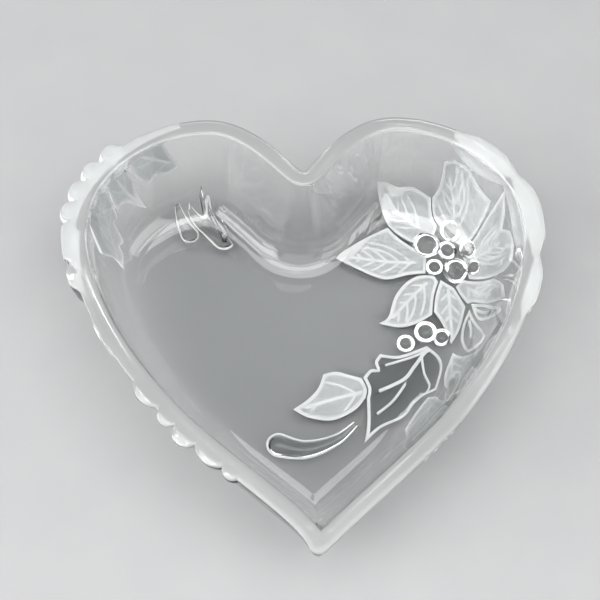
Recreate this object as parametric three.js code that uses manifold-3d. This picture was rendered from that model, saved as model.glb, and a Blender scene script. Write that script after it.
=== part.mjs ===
import * as THREE from 'three';
import { mergeVertices } from 'three/addons/utils/BufferGeometryUtils.js';
import Module from 'manifold-3d';

// Heart-shaped pressed-glass dish, millimetres, +Z up, tip of the heart towards -Y.
// One bowl, with the raised decoration of its outer face split into named parts.

const HALF_WIDTH = 75;
const LOBE_TOP_X = 31;
const LOBE_TOP_Y = 55.5;
const SHOULDER_Y = 15;
const CLEFT_Y = 33.5;
const FLANK = [40, -57];
const NOSE = [-2.8, -90.6];
const NOSE_RADIUS = 3.3;
const NOSE_START = -0.2 * Math.PI;
const NOSE_END = -0.94 * Math.PI;

const RIM_HEIGHT = 42;
const RIM_BAND = 5.5;
const RIM_EDGE = 0.7;
const FLOOR_BOTTOM = 4;
const FLOOR_TOP = 9.5;

const GAP = 0.3;
const SATIN_RELIEF = 1.5;
const CLEAR_RELIEF = 1.2;
const WALL_RELIEF = 1.8;
const BLOCK_RELIEF = 2.6;
const MIDRIB_RADIUS = 0.55;
const BEAD_SIDES = 16;
const BEAD_BANDS = 10;

const RING_POINTS = 92;
const WALL_STEPS = 7;
const RAY_CENTRE = new THREE.Vector2(0, -5);
const FARTHEST_RAY = 110;
const RAY_HALVINGS = 24;
const OUTSIDE_INSET = -5;

// A rim strip is this deep at its ends, as a share of its depth in the middle.
const STRIP_END_SHARE = 0.45;
// How fast a drop swells from its neck, and how blunt its round end is.
const DROP_SWELL_POWER = 0.8;
const DROP_END_BLUNTNESS = 0.94;
// Length of a tapered body's end point beyond its last ring, as a share of the ring's radius.
const END_POINT_SHARE = 0.7;
const ABOVE_RIM = 4;
const PRISM_MARGIN = 10;

// Wall profiles as (distance in from the heart outline, height).
const OUTER_PROFILE = new THREE.CubicBezierCurve(
  new THREE.Vector2(0, RIM_HEIGHT - RIM_EDGE),
  new THREE.Vector2(4.5, 20),
  new THREE.Vector2(8, FLOOR_BOTTOM),
  new THREE.Vector2(20, FLOOR_BOTTOM),
);
const INNER_PROFILE = new THREE.CubicBezierCurve(
  new THREE.Vector2(RIM_BAND, RIM_HEIGHT - RIM_EDGE),
  new THREE.Vector2(10, 22),
  new THREE.Vector2(13, FLOOR_TOP),
  new THREE.Vector2(24, FLOOR_TOP),
);

const CLEAR_GLASS = { color: 0xf3f8f8, roughness: 0.03, metalness: 0 };
const SATIN_GLASS = { color: 0xe6ebec, roughness: 0.55, metalness: 0 };

const wasm = await Module();
wasm.setup();

// ---------------------------------------------------------------- heart outline

function heartPath() {
  const path = new THREE.Path();
  const [noseX, noseY] = NOSE;
  const [flankX, flankY] = FLANK;
  path.moveTo(0, CLEFT_Y);
  path.bezierCurveTo(7, 42, 17, LOBE_TOP_Y, LOBE_TOP_X, LOBE_TOP_Y);
  path.bezierCurveTo(52, LOBE_TOP_Y, HALF_WIDTH, 38, HALF_WIDTH, SHOULDER_Y);
  path.bezierCurveTo(HALF_WIDTH, -10, 60, -36, flankX, flankY);
  const startX = noseX + NOSE_RADIUS * Math.cos(NOSE_START);
  const startY = noseY + NOSE_RADIUS * Math.sin(NOSE_START);
  path.bezierCurveTo(26, -70.5, 12, -81.5, startX, startY);
  path.absarc(noseX, noseY, NOSE_RADIUS, NOSE_START, NOSE_END, true);
  path.bezierCurveTo(-9, -84, -25, -72, -flankX, flankY);
  path.bezierCurveTo(-60, -36, -HALF_WIDTH, -10, -HALF_WIDTH, SHOULDER_Y);
  path.bezierCurveTo(-HALF_WIDTH, 38, -52, LOBE_TOP_Y, -LOBE_TOP_X, LOBE_TOP_Y);
  path.bezierCurveTo(-17, LOBE_TOP_Y, -7, 42, 0, CLEFT_Y);
  return path;
}

const OUTLINE = heartPath()
  .getPoints(16)
  .filter((p, i, all) => i === 0 || p.distanceTo(all[i - 1]) > 1e-6);
OUTLINE.pop();

// Distance in from the heart outline: positive inside, negative outside.
function insetOf(x, y) {
  let best = Infinity;
  let inside = false;
  for (let i = 0; i < OUTLINE.length; i += 1) {
    const a = OUTLINE[i];
    const b = OUTLINE[(i + 1) % OUTLINE.length];
    const dx = b.x - a.x;
    const dy = b.y - a.y;
    const t = THREE.MathUtils.clamp(((x - a.x) * dx + (y - a.y) * dy) / (dx * dx + dy * dy), 0, 1);
    best = Math.min(best, Math.hypot(x - a.x - t * dx, y - a.y - t * dy));
    if ((a.y > y) !== (b.y > y) && x < a.x + ((y - a.y) * dx) / dy) {
      inside = !inside;
    }
  }
  return inside ? best : -best;
}

// The point on a ray from the dish centre that lies the given distance in from the outline.
function pointOnRay(angle, inset) {
  const at = (r) => [RAY_CENTRE.x + r * Math.cos(angle), RAY_CENTRE.y + r * Math.sin(angle)];
  let far = FARTHEST_RAY;
  while (far > 1 && insetOf(...at(far)) < inset) {
    far -= 1;
  }
  let near = far;
  far += 1;
  for (let i = 0; i < RAY_HALVINGS; i += 1) {
    const middle = (near + far) / 2;
    if (insetOf(...at(middle)) < inset) {
      far = middle;
    } else {
      near = middle;
    }
  }
  return new THREE.Vector2(...at(near));
}

// Ray directions through evenly spaced outline points, counter-clockwise and ending at the cleft.
function rayAngles() {
  const path = heartPath();
  const angles = [];
  for (let i = 0; i < RING_POINTS; i += 1) {
    const p = path.getPointAt(i / RING_POINTS).sub(RAY_CENTRE);
    angles.push(Math.atan2(p.y, p.x));
  }
  return angles.reverse();
}

const ANGLES = rayAngles();

// ---------------------------------------------------------------- solids

function toManifold(geometry) {
  const bare = geometry.clone();
  bare.deleteAttribute('normal');
  bare.deleteAttribute('uv');
  const welded = mergeVertices(bare, 1e-5);
  return new wasm.Manifold(new wasm.Mesh({
    numProp: 3,
    vertProperties: new Float32Array(welded.attributes.position.array),
    triVerts: new Uint32Array(welded.index.array),
  }));
}

function toGeometry(solid) {
  const mesh = solid.getMesh();
  const geometry = new THREE.BufferGeometry();
  const positions = new Float32Array(mesh.numVert * 3);
  for (let i = 0; i < mesh.numVert; i += 1) {
    for (let k = 0; k < 3; k += 1) {
      positions[3 * i + k] = mesh.vertProperties[mesh.numProp * i + k];
    }
  }
  geometry.setAttribute('position', new THREE.BufferAttribute(positions, 3));
  geometry.setIndex(new THREE.BufferAttribute(new Uint32Array(mesh.triVerts), 1));
  return geometry;
}

// A closed skin over stacked rings of equal count, first ring capped downwards and last upwards.
function loftRings(rings) {
  const count = rings[0].length;
  const positions = rings.flat().flatMap((p) => [p.x, p.y, p.z]);
  const index = [];
  for (let r = 0; r + 1 < rings.length; r += 1) {
    for (let i = 0; i < count; i += 1) {
      const a = r * count + i;
      const b = r * count + ((i + 1) % count);
      index.push(a, b, b + count, a, b + count, a + count);
    }
  }
  const last = (rings.length - 1) * count;
  const flat = (ring) => {
    const plan = ring.map((p) => new THREE.Vector2(p.x, p.y));
    return THREE.ShapeUtils.triangulateShape(plan, []);
  };
  for (const [a, b, c] of flat(rings[0])) {
    index.push(a, c, b);
  }
  for (const [a, b, c] of flat(rings[rings.length - 1])) {
    index.push(last + a, last + b, last + c);
  }
  const geometry = new THREE.BufferGeometry();
  geometry.setAttribute('position', new THREE.Float32BufferAttribute(positions, 3));
  geometry.setIndex(index);
  return geometry;
}

// The closed solid whose skin follows (inset, height) pairs around the heart.
function heartLoft(profile) {
  const rings = profile.map(([inset, z]) => ANGLES.map((angle) => {
    const p = pointOnRay(angle, inset);
    return new THREE.Vector3(p.x, p.y, z);
  }));
  return toManifold(loftRings(rings));
}

// The outer wall profile pushed out by an offset, from the floor edge up to the rim.
function offsetProfile(offset, top) {
  const rows = [];
  for (let i = 0; i <= WALL_STEPS; i += 1) {
    const t = 1 - i / WALL_STEPS;
    const p = OUTER_PROFILE.getPoint(t);
    const tangent = OUTER_PROFILE.getTangent(t);
    rows.push([p.x + tangent.y * offset, p.y - tangent.x * offset]);
  }
  const lip = rows[rows.length - 1][0];
  rows.push([lip, top]);
  return rows;
}

function bowlSolid() {
  const rows = offsetProfile(0, RIM_HEIGHT);
  rows[rows.length - 1] = [RIM_EDGE, RIM_HEIGHT];
  rows.push([RIM_BAND - RIM_EDGE, RIM_HEIGHT]);
  for (let i = 0; i <= WALL_STEPS; i += 1) {
    const p = INNER_PROFILE.getPoint(i / WALL_STEPS);
    rows.push([p.x, p.y]);
  }
  return heartLoft(rows);
}

const CLEARANCE = heartLoft(offsetProfile(GAP, RIM_HEIGHT + ABOVE_RIM));
const COVERS = new Map();

// Everything within the given height of the bowl's outer face, clear of the bowl by the gap.
function reliefLayer(height) {
  if (!COVERS.has(height)) {
    const cover = heartLoft(offsetProfile(GAP + height, RIM_HEIGHT - RIM_EDGE));
    COVERS.set(height, cover.subtract(CLEARANCE));
  }
  return COVERS.get(height);
}

// Height of the outer face, pushed out by an offset, above a plan point.
function faceHeight(x, y, offset) {
  const rows = offsetProfile(offset, RIM_HEIGHT).reverse();
  const inset = insetOf(x, y);
  for (let i = 1; i < rows.length; i += 1) {
    const [d0, z0] = rows[i - 1];
    const [d1, z1] = rows[i];
    if (inset <= d1) {
      const t = THREE.MathUtils.clamp((inset - d0) / Math.max(d1 - d0, 1e-6), 0, 1);
      return z0 + t * (z1 - z0);
    }
  }
  return rows[rows.length - 1][1];
}

// ---------------------------------------------------------------- plan outlines

// An outline from strokes that meet in corners; three or more points make a smooth stroke.
function strokesOutline(strokes, steps = 3) {
  const points = [];
  for (const stroke of strokes) {
    const through = stroke.map(([x, y]) => new THREE.Vector2(x, y));
    const smooth = through.length > 2;
    const count = steps * (through.length - 1);
    const drawn = smooth ? new THREE.SplineCurve(through).getPoints(count) : through;
    points.push(...drawn.slice(0, -1));
  }
  return THREE.ShapeUtils.area(points) > 0 ? points : points.reverse();
}

// The outline moved outwards by a distance along the averaged edge normals.
function grownOutline(points, distance) {
  return points.map((p, i) => {
    const before = points[(i + points.length - 1) % points.length];
    const after = points[(i + 1) % points.length];
    const a = p.clone().sub(before).normalize();
    const b = after.clone().sub(p).normalize();
    const n = new THREE.Vector2(a.y + b.y, -a.x - b.x);
    const stretch = Math.max(n.length() / 2, 0.5);
    return p.clone().add(n.normalize().multiplyScalar(distance / stretch));
  });
}

function prism(points) {
  const geometry = new THREE.ExtrudeGeometry(new THREE.Shape(points), {
    depth: RIM_HEIGHT + 2 * PRISM_MARGIN,
    bevelEnabled: false,
    steps: 1,
  });
  geometry.translate(0, 0, -PRISM_MARGIN);
  return toManifold(geometry);
}

// A strip of the outer wall under the rim between two bearings, deepest in its middle.
function rimStrip(fromDegrees, toDegrees, depth, steps = 8) {
  const outer = [];
  const inner = [];
  for (let i = 0; i <= steps; i += 1) {
    const t = i / steps;
    const angle = THREE.MathUtils.degToRad(THREE.MathUtils.lerp(fromDegrees, toDegrees, t));
    outer.push(pointOnRay(angle, OUTSIDE_INSET));
    const share = STRIP_END_SHARE + (1 - STRIP_END_SHARE) * Math.sin(Math.PI * t);
    inner.push(pointOnRay(angle, depth * share));
  }
  const points = [...outer, ...inner.reverse()];
  return THREE.ShapeUtils.area(points) > 0 ? points : points.reverse();
}

// ---------------------------------------------------------------- decoration bodies

// A round body along a curve whose radius is given at each fraction of its length.
function taperedBody(curve, radiusAt, rings = 8, sides = 10) {
  const frames = curve.computeFrenetFrames(rings, false);
  const positions = [curve.getPointAt(0)];
  for (let r = 0; r <= rings; r += 1) {
    const centre = curve.getPointAt(r / rings);
    for (let s = 0; s < sides; s += 1) {
      const turn = (2 * Math.PI * s) / sides;
      const spoke = frames.normals[r].clone().multiplyScalar(Math.cos(turn));
      spoke.addScaledVector(frames.binormals[r], Math.sin(turn));
      positions.push(centre.clone().addScaledVector(spoke, radiusAt(r / rings)));
    }
  }
  positions[0].addScaledVector(frames.tangents[0], -radiusAt(0) * END_POINT_SHARE);
  const tip = curve.getPointAt(1).addScaledVector(frames.tangents[rings], radiusAt(1) * END_POINT_SHARE);
  positions.push(tip);
  const index = [];
  const end = positions.length - 1;
  for (let s = 0; s < sides; s += 1) {
    const next = (s + 1) % sides;
    index.push(0, 1 + next, 1 + s);
    index.push(end, end - sides + s, end - sides + next);
    for (let r = 0; r < rings; r += 1) {
      const a = 1 + r * sides + s;
      const b = 1 + r * sides + next;
      index.push(a, b, a + sides, b, b + sides, a + sides);
    }
  }
  const geometry = new THREE.BufferGeometry();
  const flat = positions.flatMap((p) => [p.x, p.y, p.z]);
  geometry.setAttribute('position', new THREE.Float32BufferAttribute(flat, 3));
  geometry.setIndex(index);
  return toManifold(geometry);
}

// A curve through plan points laid on the outer face pushed out by an offset.
function curveOnFace(plan, offset) {
  const points = plan.map(([x, y]) => new THREE.Vector3(x, y, faceHeight(x, y, offset)));
  return new THREE.CatmullRomCurve3(points);
}

// A box over the ground, larger than the dish.
function groundBox() {
  const side = 4 * HALF_WIDTH;
  const height = 2 * RIM_HEIGHT;
  const box = new THREE.BoxGeometry(side, side, height);
  box.translate(0, 0, height / 2);
  return toManifold(box);
}

const ABOVE_GROUND = groundBox();
const BELOW_RIM = ABOVE_GROUND.trimByPlane([0, 0, -1], -RIM_HEIGHT);

// A half-round bead on the outer face; height overrides where the face is nearly upright.
function ball({ at, radius, z }, extra = 0) {
  const geometry = new THREE.SphereGeometry(radius + extra, BEAD_SIDES, BEAD_BANDS);
  geometry.rotateX(Math.PI / 2);
  geometry.translate(at[0], at[1], z ?? faceHeight(at[0], at[1], 0));
  return toManifold(geometry);
}

function largestPiece(solid) {
  return solid.decompose().reduce((a, b) => (a.volume() > b.volume() ? a : b));
}

// ---------------------------------------------------------------- the decoration

// Petals of the large flower, clockwise from the top, with the line of each middle vein.
const PETALS = {
  petal_top: {
    strokes: [
      [[53, 28.6], [50.4, 34], [48.4, 38], [47.9, 43]],
      [[47.9, 43], [50, 44.6], [50.5, 47.6]],
      [[50.5, 47.6], [53.4, 46.6]],
      [[53.4, 46.6], [58.2, 43], [62.5, 37.3], [66.1, 32.4]],
      [[66.1, 32.4], [64.9, 30.4], [61.2, 26.8], [57, 26]],
    ],
    rib: [[55, 31], [55.4, 38], [53, 44.6]],
  },
  petal_right: {
    strokes: [
      [[57, 25.4], [61.6, 26.2], [66.2, 29.8], [69.6, 31.2]],
      [[69.6, 31.2], [69.9, 26], [69.6, 22.6]],
      [[69.6, 22.6], [71.4, 19], [71.9, 13], [70.9, 7.4]],
      [[70.9, 7.4], [69.2, 6.6], [67.7, 7.6]],
      [[67.7, 7.6], [63, 10.4], [58.4, 12.6]],
    ],
    rib: [[61, 19.6], [65.4, 19.4], [69.8, 18.4]],
  },
  petal_lower_right: {
    strokes: [
      [[56.6, 12.2], [62, 9.9], [67.2, 6.8]],
      [[67.2, 6.8], [68.4, 2], [67.6, -6]],
      [[67.6, -6], [64, -1.6], [59.8, 2.2], [57.3, 2.4]],
      [[57.3, 2.4], [54.6, 6.6], [52.8, 10.2]],
    ],
    rib: [[57.4, 9.2], [62, 5], [65.8, 0.6]],
  },
  petal_bottom: {
    strokes: [
      [[47.9, 12.6], [45.6, 6.8], [44.3, 0.6]],
      [[44.3, 0.6], [46.6, -4], [49.8, -12.6]],
      [[49.8, -12.6], [53.6, -7], [56.4, 1.4]],
      [[56.4, 1.4], [54, 6.2], [52, 9.8]],
    ],
    rib: [[50.2, 9], [50, 0], [50, -9]],
  },
  petal_lower_left: {
    strokes: [
      [[45.8, 14.4], [40.2, 14.4], [35.4, 11.6], [31.4, 6.4], [28.6, -1], [25.3, -3.4]],
      [[25.3, -3.4], [31.8, -5], [38, -3.8], [43.6, -0.6]],
      [[43.6, -0.6], [45, 6.6], [47.1, 12.4]],
    ],
    rib: [[43, 11.8], [37, 6], [30, -1.4]],
  },
  petal_left: {
    strokes: [
      [[44, 23], [39.6, 25.6], [34.6, 30], [31.4, 34.2]],
      [[31.4, 34.2], [22, 29.8], [14.2, 25.2], [11.8, 22.7]],
      [[11.8, 22.7], [18, 18.8], [25, 14.8], [30, 13.5], [37, 15], [43.4, 15.4]],
    ],
    rib: [[40, 19.8], [30, 20.4], [17, 22.6]],
  },
  petal_upper_left: {
    strokes: [
      [[46, 27], [40.2, 27.6], [34.6, 31.4], [31.7, 35]],
      [[31.7, 35], [28.8, 43], [26.8, 48.2]],
      [[26.8, 48.2], [30.6, 48.6], [35.4, 47.4]],
      [[35.4, 47.4], [41, 46.6], [47.4, 43]],
      [[47.4, 43], [48, 38], [49.6, 34]],
    ],
    rib: [[43.4, 33], [37, 39.4], [30, 46]],
  },
};

const FLOWER_BERRIES = [
  { at: [54, 16.5], radius: 4.8 },
  { at: [44.6, 27.2], radius: 4.9 },
  { at: [54, 32.1], radius: 4.2 },
  { at: [59.9, 23.9], radius: 3.8 },
  { at: [51.7, 24.6], radius: 3.7 },
  { at: [61.3, 16.4], radius: 3.3 },
  { at: [46.3, 17.9], radius: 3.1 },
];

const HOLLY_BERRIES = [
  { at: [40.7, -7], radius: 4 },
  { at: [46.2, -9.4], radius: 3.4 },
  { at: [33.6, -11.1], radius: 3.2 },
];

const LEAVES = {
  holly_leaf_tip: {
    strokes: [
      [[-5.3, -33.8], [-0.6, -30.6], [3.2, -26.6], [5.3, -21.6]],
      [[5.3, -21.6], [9.6, -20.8], [14, -22.2], [17.8, -23.4]],
      [[17.8, -23.4], [19.2, -27.4], [18.6, -30.4]],
      [[18.6, -30.4], [14.6, -34.8], [7.2, -38], [-0.4, -36.8], [-5.3, -33.8]],
    ],
    rib: [[17, -28.6], [9, -30.4], [-1, -33.2]],
    glass: SATIN_GLASS,
    height: SATIN_RELIEF,
  },
  holly_leaf_blade: {
    strokes: [
      [[18.4, -23.2], [20.9, -20.4], [23.3, -20.5]],
      [[23.3, -20.5], [22.7, -17.6], [24.6, -14.8]],
      [[24.6, -14.8], [31, -15.6], [40.6, -12.4]],
      [[40.6, -12.4], [45, -17], [46, -22.4], [43.8, -30.7]],
      [[43.8, -30.7], [38.6, -31.6], [35, -34]],
      [[35, -34], [31.4, -38.4], [23, -41.4], [17, -46.5]],
      [[17, -46.5], [18.4, -40], [19, -30.6]],
      [[19, -30.6], [19.7, -27.2], [18.4, -23.2]],
    ],
    rib: [[39.4, -14.6], [33.4, -23], [22.6, -28.2]],
    glass: CLEAR_GLASS,
    height: CLEAR_RELIEF,
  },
  bud_leaf_short: {
    strokes: [
      [[58.8, 1.8], [63.4, -1.6], [66.2, -8.6]],
      [[66.2, -8.6], [65.4, -11.2], [61, -7.4], [58.8, 1.8]],
    ],
    rib: [[60.2, -1.2], [62.4, -4.6], [64.8, -8.8]],
    glass: CLEAR_GLASS,
    height: CLEAR_RELIEF,
  },
  bud_leaf_long: {
    strokes: [
      [[58, -0.4], [54.9, -6], [53.9, -12.5], [55.6, -19.8]],
      [[55.6, -19.8], [59.6, -19.4], [61.2, -13.4], [58, -0.4]],
    ],
    rib: [[57.6, -5.4], [56.8, -10.4], [57.2, -16]],
    glass: CLEAR_GLASS,
    height: CLEAR_RELIEF,
  },
  wall_leaf_upper: {
    strokes: [
      [[46.7, -30.4], [47.2, -24.6], [50.4, -16.6]],
      [[50.4, -16.6], [54.6, -21], [60.6, -24.4], [68, -24.6]],
      [[68, -24.6], [55.4, -52]],
      [[55.4, -52], [50, -44], [46.7, -38]],
      [[46.7, -38], [47.4, -34], [46.7, -30.4]],
    ],
    rib: [[49, -21.4], [51, -30], [56.4, -38]],
    glass: SATIN_GLASS,
    height: WALL_RELIEF,
  },
  wall_leaf_lower: {
    strokes: [
      [[40.4, -33], [35.6, -38.4], [31.9, -44.5]],
      [[31.9, -44.5], [32.4, -50], [31, -56.4], [33.6, -70]],
      [[33.6, -70], [54, -53.6]],
      [[54, -53.6], [48, -45.4], [44.9, -38.4]],
      [[44.9, -38.4], [43.6, -34.4], [40.4, -33]],
    ],
    rib: [[41.6, -36.4], [39.6, -46], [41, -54]],
    glass: SATIN_GLASS,
    height: WALL_RELIEF,
  },
  side_leaf_upper: {
    strokes: [
      [[-41, 50.6], [-45.4, 48.4], [-49.6, 47.2]],
      [[-49.6, 47.2], [-52.4, 44.8], [-56, 43.8]],
      [[-56, 43.8], [-60, 45.4], [-66, 50]],
      [[-66, 50], [-48, 58]],
      [[-48, 58], [-43.6, 52.6], [-41, 50.6]],
    ],
    rib: [[-44, 50.2], [-50.4, 48.6], [-56.4, 46.4]],
    glass: SATIN_GLASS,
    height: WALL_RELIEF,
  },
  side_leaf_middle: {
    strokes: [
      [[-53.1, 40.4], [-56.6, 41.6], [-57.4, 43.1]],
      [[-57.4, 43.1], [-61.6, 43.8], [-67.4, 48]],
      [[-67.4, 48], [-74, 39]],
      [[-74, 39], [-67, 36.4], [-63.6, 34.4]],
      [[-63.6, 34.4], [-60.4, 38], [-53.1, 40.4]],
    ],
    rib: [[-56, 40.4], [-60.4, 39.8], [-65.6, 39.4]],
    glass: SATIN_GLASS,
    height: WALL_RELIEF,
  },
  side_leaf_lower: {
    strokes: [
      [[-62.3, 18.6], [-62.4, 23.8], [-63.7, 26]],
      [[-63.7, 26], [-62.2, 28.4], [-65, 31]],
      [[-65, 31], [-63.9, 33.5], [-67.4, 35.4], [-74.6, 37.4]],
      [[-74.6, 37.4], [-79, 24]],
      [[-79, 24], [-73.2, 21], [-69.8, 17]],
      [[-69.8, 17], [-65.6, 20.4], [-62.3, 18.6]],
    ],
    rib: [[-64.6, 21.4], [-66.6, 26.4], [-69, 32]],
    glass: SATIN_GLASS,
    height: WALL_RELIEF,
  },
};

// Short reliefs that run under the rim, by bearing from the dish centre.
const RIM_RELIEFS = {
  rim_leaf_upper: { from: 46.5, to: 28.5, depth: 2.2, height: WALL_RELIEF, glass: SATIN_GLASS },
  rim_leaf_middle: { from: 27.9, to: 5.5, depth: 2.6, height: WALL_RELIEF, glass: SATIN_GLASS },
  rim_leaf_lower: { from: 4.9, to: -13.5, depth: 2.4, height: WALL_RELIEF, glass: SATIN_GLASS },
  side_block_upper: { from: 163.6, to: 172.6, depth: 2.6, height: BLOCK_RELIEF, glass: SATIN_GLASS },
  side_block_lower: { from: 173.2, to: 180.6, depth: 2.2, height: BLOCK_RELIEF, glass: CLEAR_GLASS },
};

// Beads standing out of the wall under the rim, by bearing from the dish centre.
const SIDE_BERRIES = [
  { bearing: 142.6, inset: 0.2, z: 38, radius: 3.6 },
  { bearing: 148.9, inset: 0.2, z: 38, radius: 3.8 },
  { bearing: 154.6, inset: 0.2, z: 38, radius: 3.8 },
  { bearing: 160, inset: 0.2, z: 38, radius: 3.8 },
];
// Caps of balls sunk into the wall, so that they stand out less than their radius.
const EDGE_BEADS = [
  { bearing: 216.5, inset: 6.6, z: 36, radius: 8 },
  { bearing: 225.2, inset: 2.1, z: 37, radius: 4.1 },
  { bearing: 232, inset: 2.1, z: 36.5, radius: 4.6 },
  { bearing: 240.3, inset: 5.7, z: 36.5, radius: 7.2 },
  { bearing: 247, inset: 2, z: 38, radius: 3.4 },
];

// Long clear drops: a fine neck high on the wall swelling to a round end under the floor.
const DROPS = {
  drop_short: { plan: [[-42.6, 44.4], [-40.2, 38.6], [-36, 30]], radius: 3.3, neck: 0.5 },
  drop_long: { plan: [[-38.6, 45.4], [-33.2, 37.4], [-22.6, 28]], radius: 4.25, neck: 0.5 },
  comma_scroll: { plan: [[14.6, -39.6], [7.6, -45], [-3, -47.8], [-14.6, -44.6]], radius: 4.15, neck: 0.5 },
};

// ---------------------------------------------------------------- assembly

const group = new THREE.Group();
group.name = 'heart_dish';
let taken = ABOVE_GROUND.subtract(ABOVE_GROUND);

function addNode(name, solid, glass) {
  const mesh = new THREE.Mesh(toGeometry(largestPiece(solid)), new THREE.MeshStandardMaterial(glass));
  mesh.name = name;
  group.add(mesh);
}

function addBead(name, bead) {
  const solid = ball(bead).intersect(BELOW_RIM).subtract(CLEARANCE).subtract(taken);
  addNode(name, solid, bead.glass);
  taken = taken.add(ball(bead, GAP));
}

function addRelief(name, outline, { glass, height, rib }) {
  let solid = prism(outline).intersect(reliefLayer(height)).subtract(taken);
  if (rib) {
    const groove = taperedBody(curveOnFace(rib, GAP + height), () => MIDRIB_RADIUS, 6, 6);
    solid = solid.subtract(groove);
  }
  addNode(name, solid, glass);
  const margin = prism(grownOutline(outline, GAP)).intersect(reliefLayer(BLOCK_RELIEF + GAP));
  taken = taken.add(margin);
}

function addDrop(name, { plan, radius, neck }) {
  const curve = curveOnFace(plan, 0);
  const roundEnd = 1 - radius / curve.getLength();
  const swell = (t) => {
    const body = neck + (radius - neck) * Math.min(1, t / roundEnd) ** DROP_SWELL_POWER;
    const past = Math.max(0, (t - roundEnd) / (1 - roundEnd));
    return body * Math.sqrt(1 - DROP_END_BLUNTNESS * past ** 2);
  };
  const solid = taperedBody(curve, swell, 10, 14);
  addNode(name, solid.intersect(ABOVE_GROUND).subtract(CLEARANCE).subtract(taken), CLEAR_GLASS);
  taken = taken.add(taperedBody(curve, (t) => swell(t) + GAP, 10, 14));
}

function beadOnRay({ bearing, inset, z, radius }, glass) {
  const p = pointOnRay(THREE.MathUtils.degToRad(bearing), inset);
  return { at: [p.x, p.y], z, radius, glass };
}

addNode('bowl', bowlSolid(), CLEAR_GLASS);
FLOWER_BERRIES.forEach((berry, i) => addBead(`flower_berry_${i + 1}`, { ...berry, glass: CLEAR_GLASS }));
HOLLY_BERRIES.forEach((berry, i) => addBead(`holly_berry_${i + 1}`, { ...berry, glass: CLEAR_GLASS }));
SIDE_BERRIES.forEach((berry, i) => addBead(`side_berry_${i + 1}`, beadOnRay(berry, SATIN_GLASS)));
EDGE_BEADS.forEach((bead, i) => addBead(`edge_bead_${i + 1}`, beadOnRay(bead, CLEAR_GLASS)));
for (const [name, petal] of Object.entries(PETALS)) {
  const look = { glass: SATIN_GLASS, height: SATIN_RELIEF, rib: petal.rib };
  addRelief(name, strokesOutline(petal.strokes), look);
}
for (const [name, leaf] of Object.entries(LEAVES)) {
  addRelief(name, strokesOutline(leaf.strokes), leaf);
}
for (const [name, strip] of Object.entries(RIM_RELIEFS)) {
  addRelief(name, rimStrip(strip.from, strip.to, strip.depth), strip);
}
for (const [name, drop] of Object.entries(DROPS)) {
  addDrop(name, drop);
}

// Stand the dish on the ground with the middle of its box over the origin.
const box = new THREE.Box3().setFromObject(group);
const middle = box.getCenter(new THREE.Vector3());
for (const mesh of group.children) {
  mesh.geometry.translate(-middle.x, -middle.y, -box.min.z);
}

export default group;
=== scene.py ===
"""Looks for the heart-shaped pressed-glass dish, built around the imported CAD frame."""

import logging
import math
from dataclasses import dataclass, field
from enum import Enum

import bmesh
import bpy
import numpy as np
from mathutils import Matrix, Vector
from mathutils.geometry import delaunay_2d_cdt


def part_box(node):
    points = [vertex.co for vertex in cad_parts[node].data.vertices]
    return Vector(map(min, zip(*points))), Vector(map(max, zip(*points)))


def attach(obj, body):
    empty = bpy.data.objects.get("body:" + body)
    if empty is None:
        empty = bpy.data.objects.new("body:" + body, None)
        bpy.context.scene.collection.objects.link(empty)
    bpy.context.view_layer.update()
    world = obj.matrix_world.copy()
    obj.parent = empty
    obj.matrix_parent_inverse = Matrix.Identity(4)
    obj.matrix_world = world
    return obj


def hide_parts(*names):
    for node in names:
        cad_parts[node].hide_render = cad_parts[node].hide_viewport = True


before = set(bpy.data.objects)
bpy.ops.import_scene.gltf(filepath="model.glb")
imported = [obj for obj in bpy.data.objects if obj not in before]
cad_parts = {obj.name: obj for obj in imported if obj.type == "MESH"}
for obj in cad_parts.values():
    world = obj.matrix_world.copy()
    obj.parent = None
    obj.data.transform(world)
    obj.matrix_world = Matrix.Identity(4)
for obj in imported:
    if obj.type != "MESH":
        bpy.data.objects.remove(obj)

LOG = logging.getLogger("glass_dish")
MM = 0.001
MIX_A = 6
MIX_B = 7
MIX_RESULT = 2


# ---------------------------------------------------------------- shader expressions


class Sock:
    """A shader socket that can be used in plain arithmetic."""

    def __init__(self, tree: bpy.types.NodeTree, socket: bpy.types.NodeSocket) -> None:
        """Wraps an output socket."""
        self.tree = tree
        self.socket = socket

    def _math(self, operation: str, *values: "Sock | float") -> "Sock":
        """Adds a Math node.

        Args:
            operation: The node's operation.
            values: Its inputs, in order.

        Returns:
            The node's output.
        """
        node = self.tree.nodes.new("ShaderNodeMath")
        node.operation = operation
        for slot, value in zip(node.inputs, values):
            if isinstance(value, Sock):
                self.tree.links.new(value.socket, slot)
            else:
                slot.default_value = value
        return Sock(self.tree, node.outputs[0])

    def __add__(self, other: "Sock | float") -> "Sock":
        """Sum."""
        return self._math("ADD", self, other)

    def __mul__(self, other: "Sock | float") -> "Sock":
        """Product."""
        return self._math("MULTIPLY", self, other)


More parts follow.
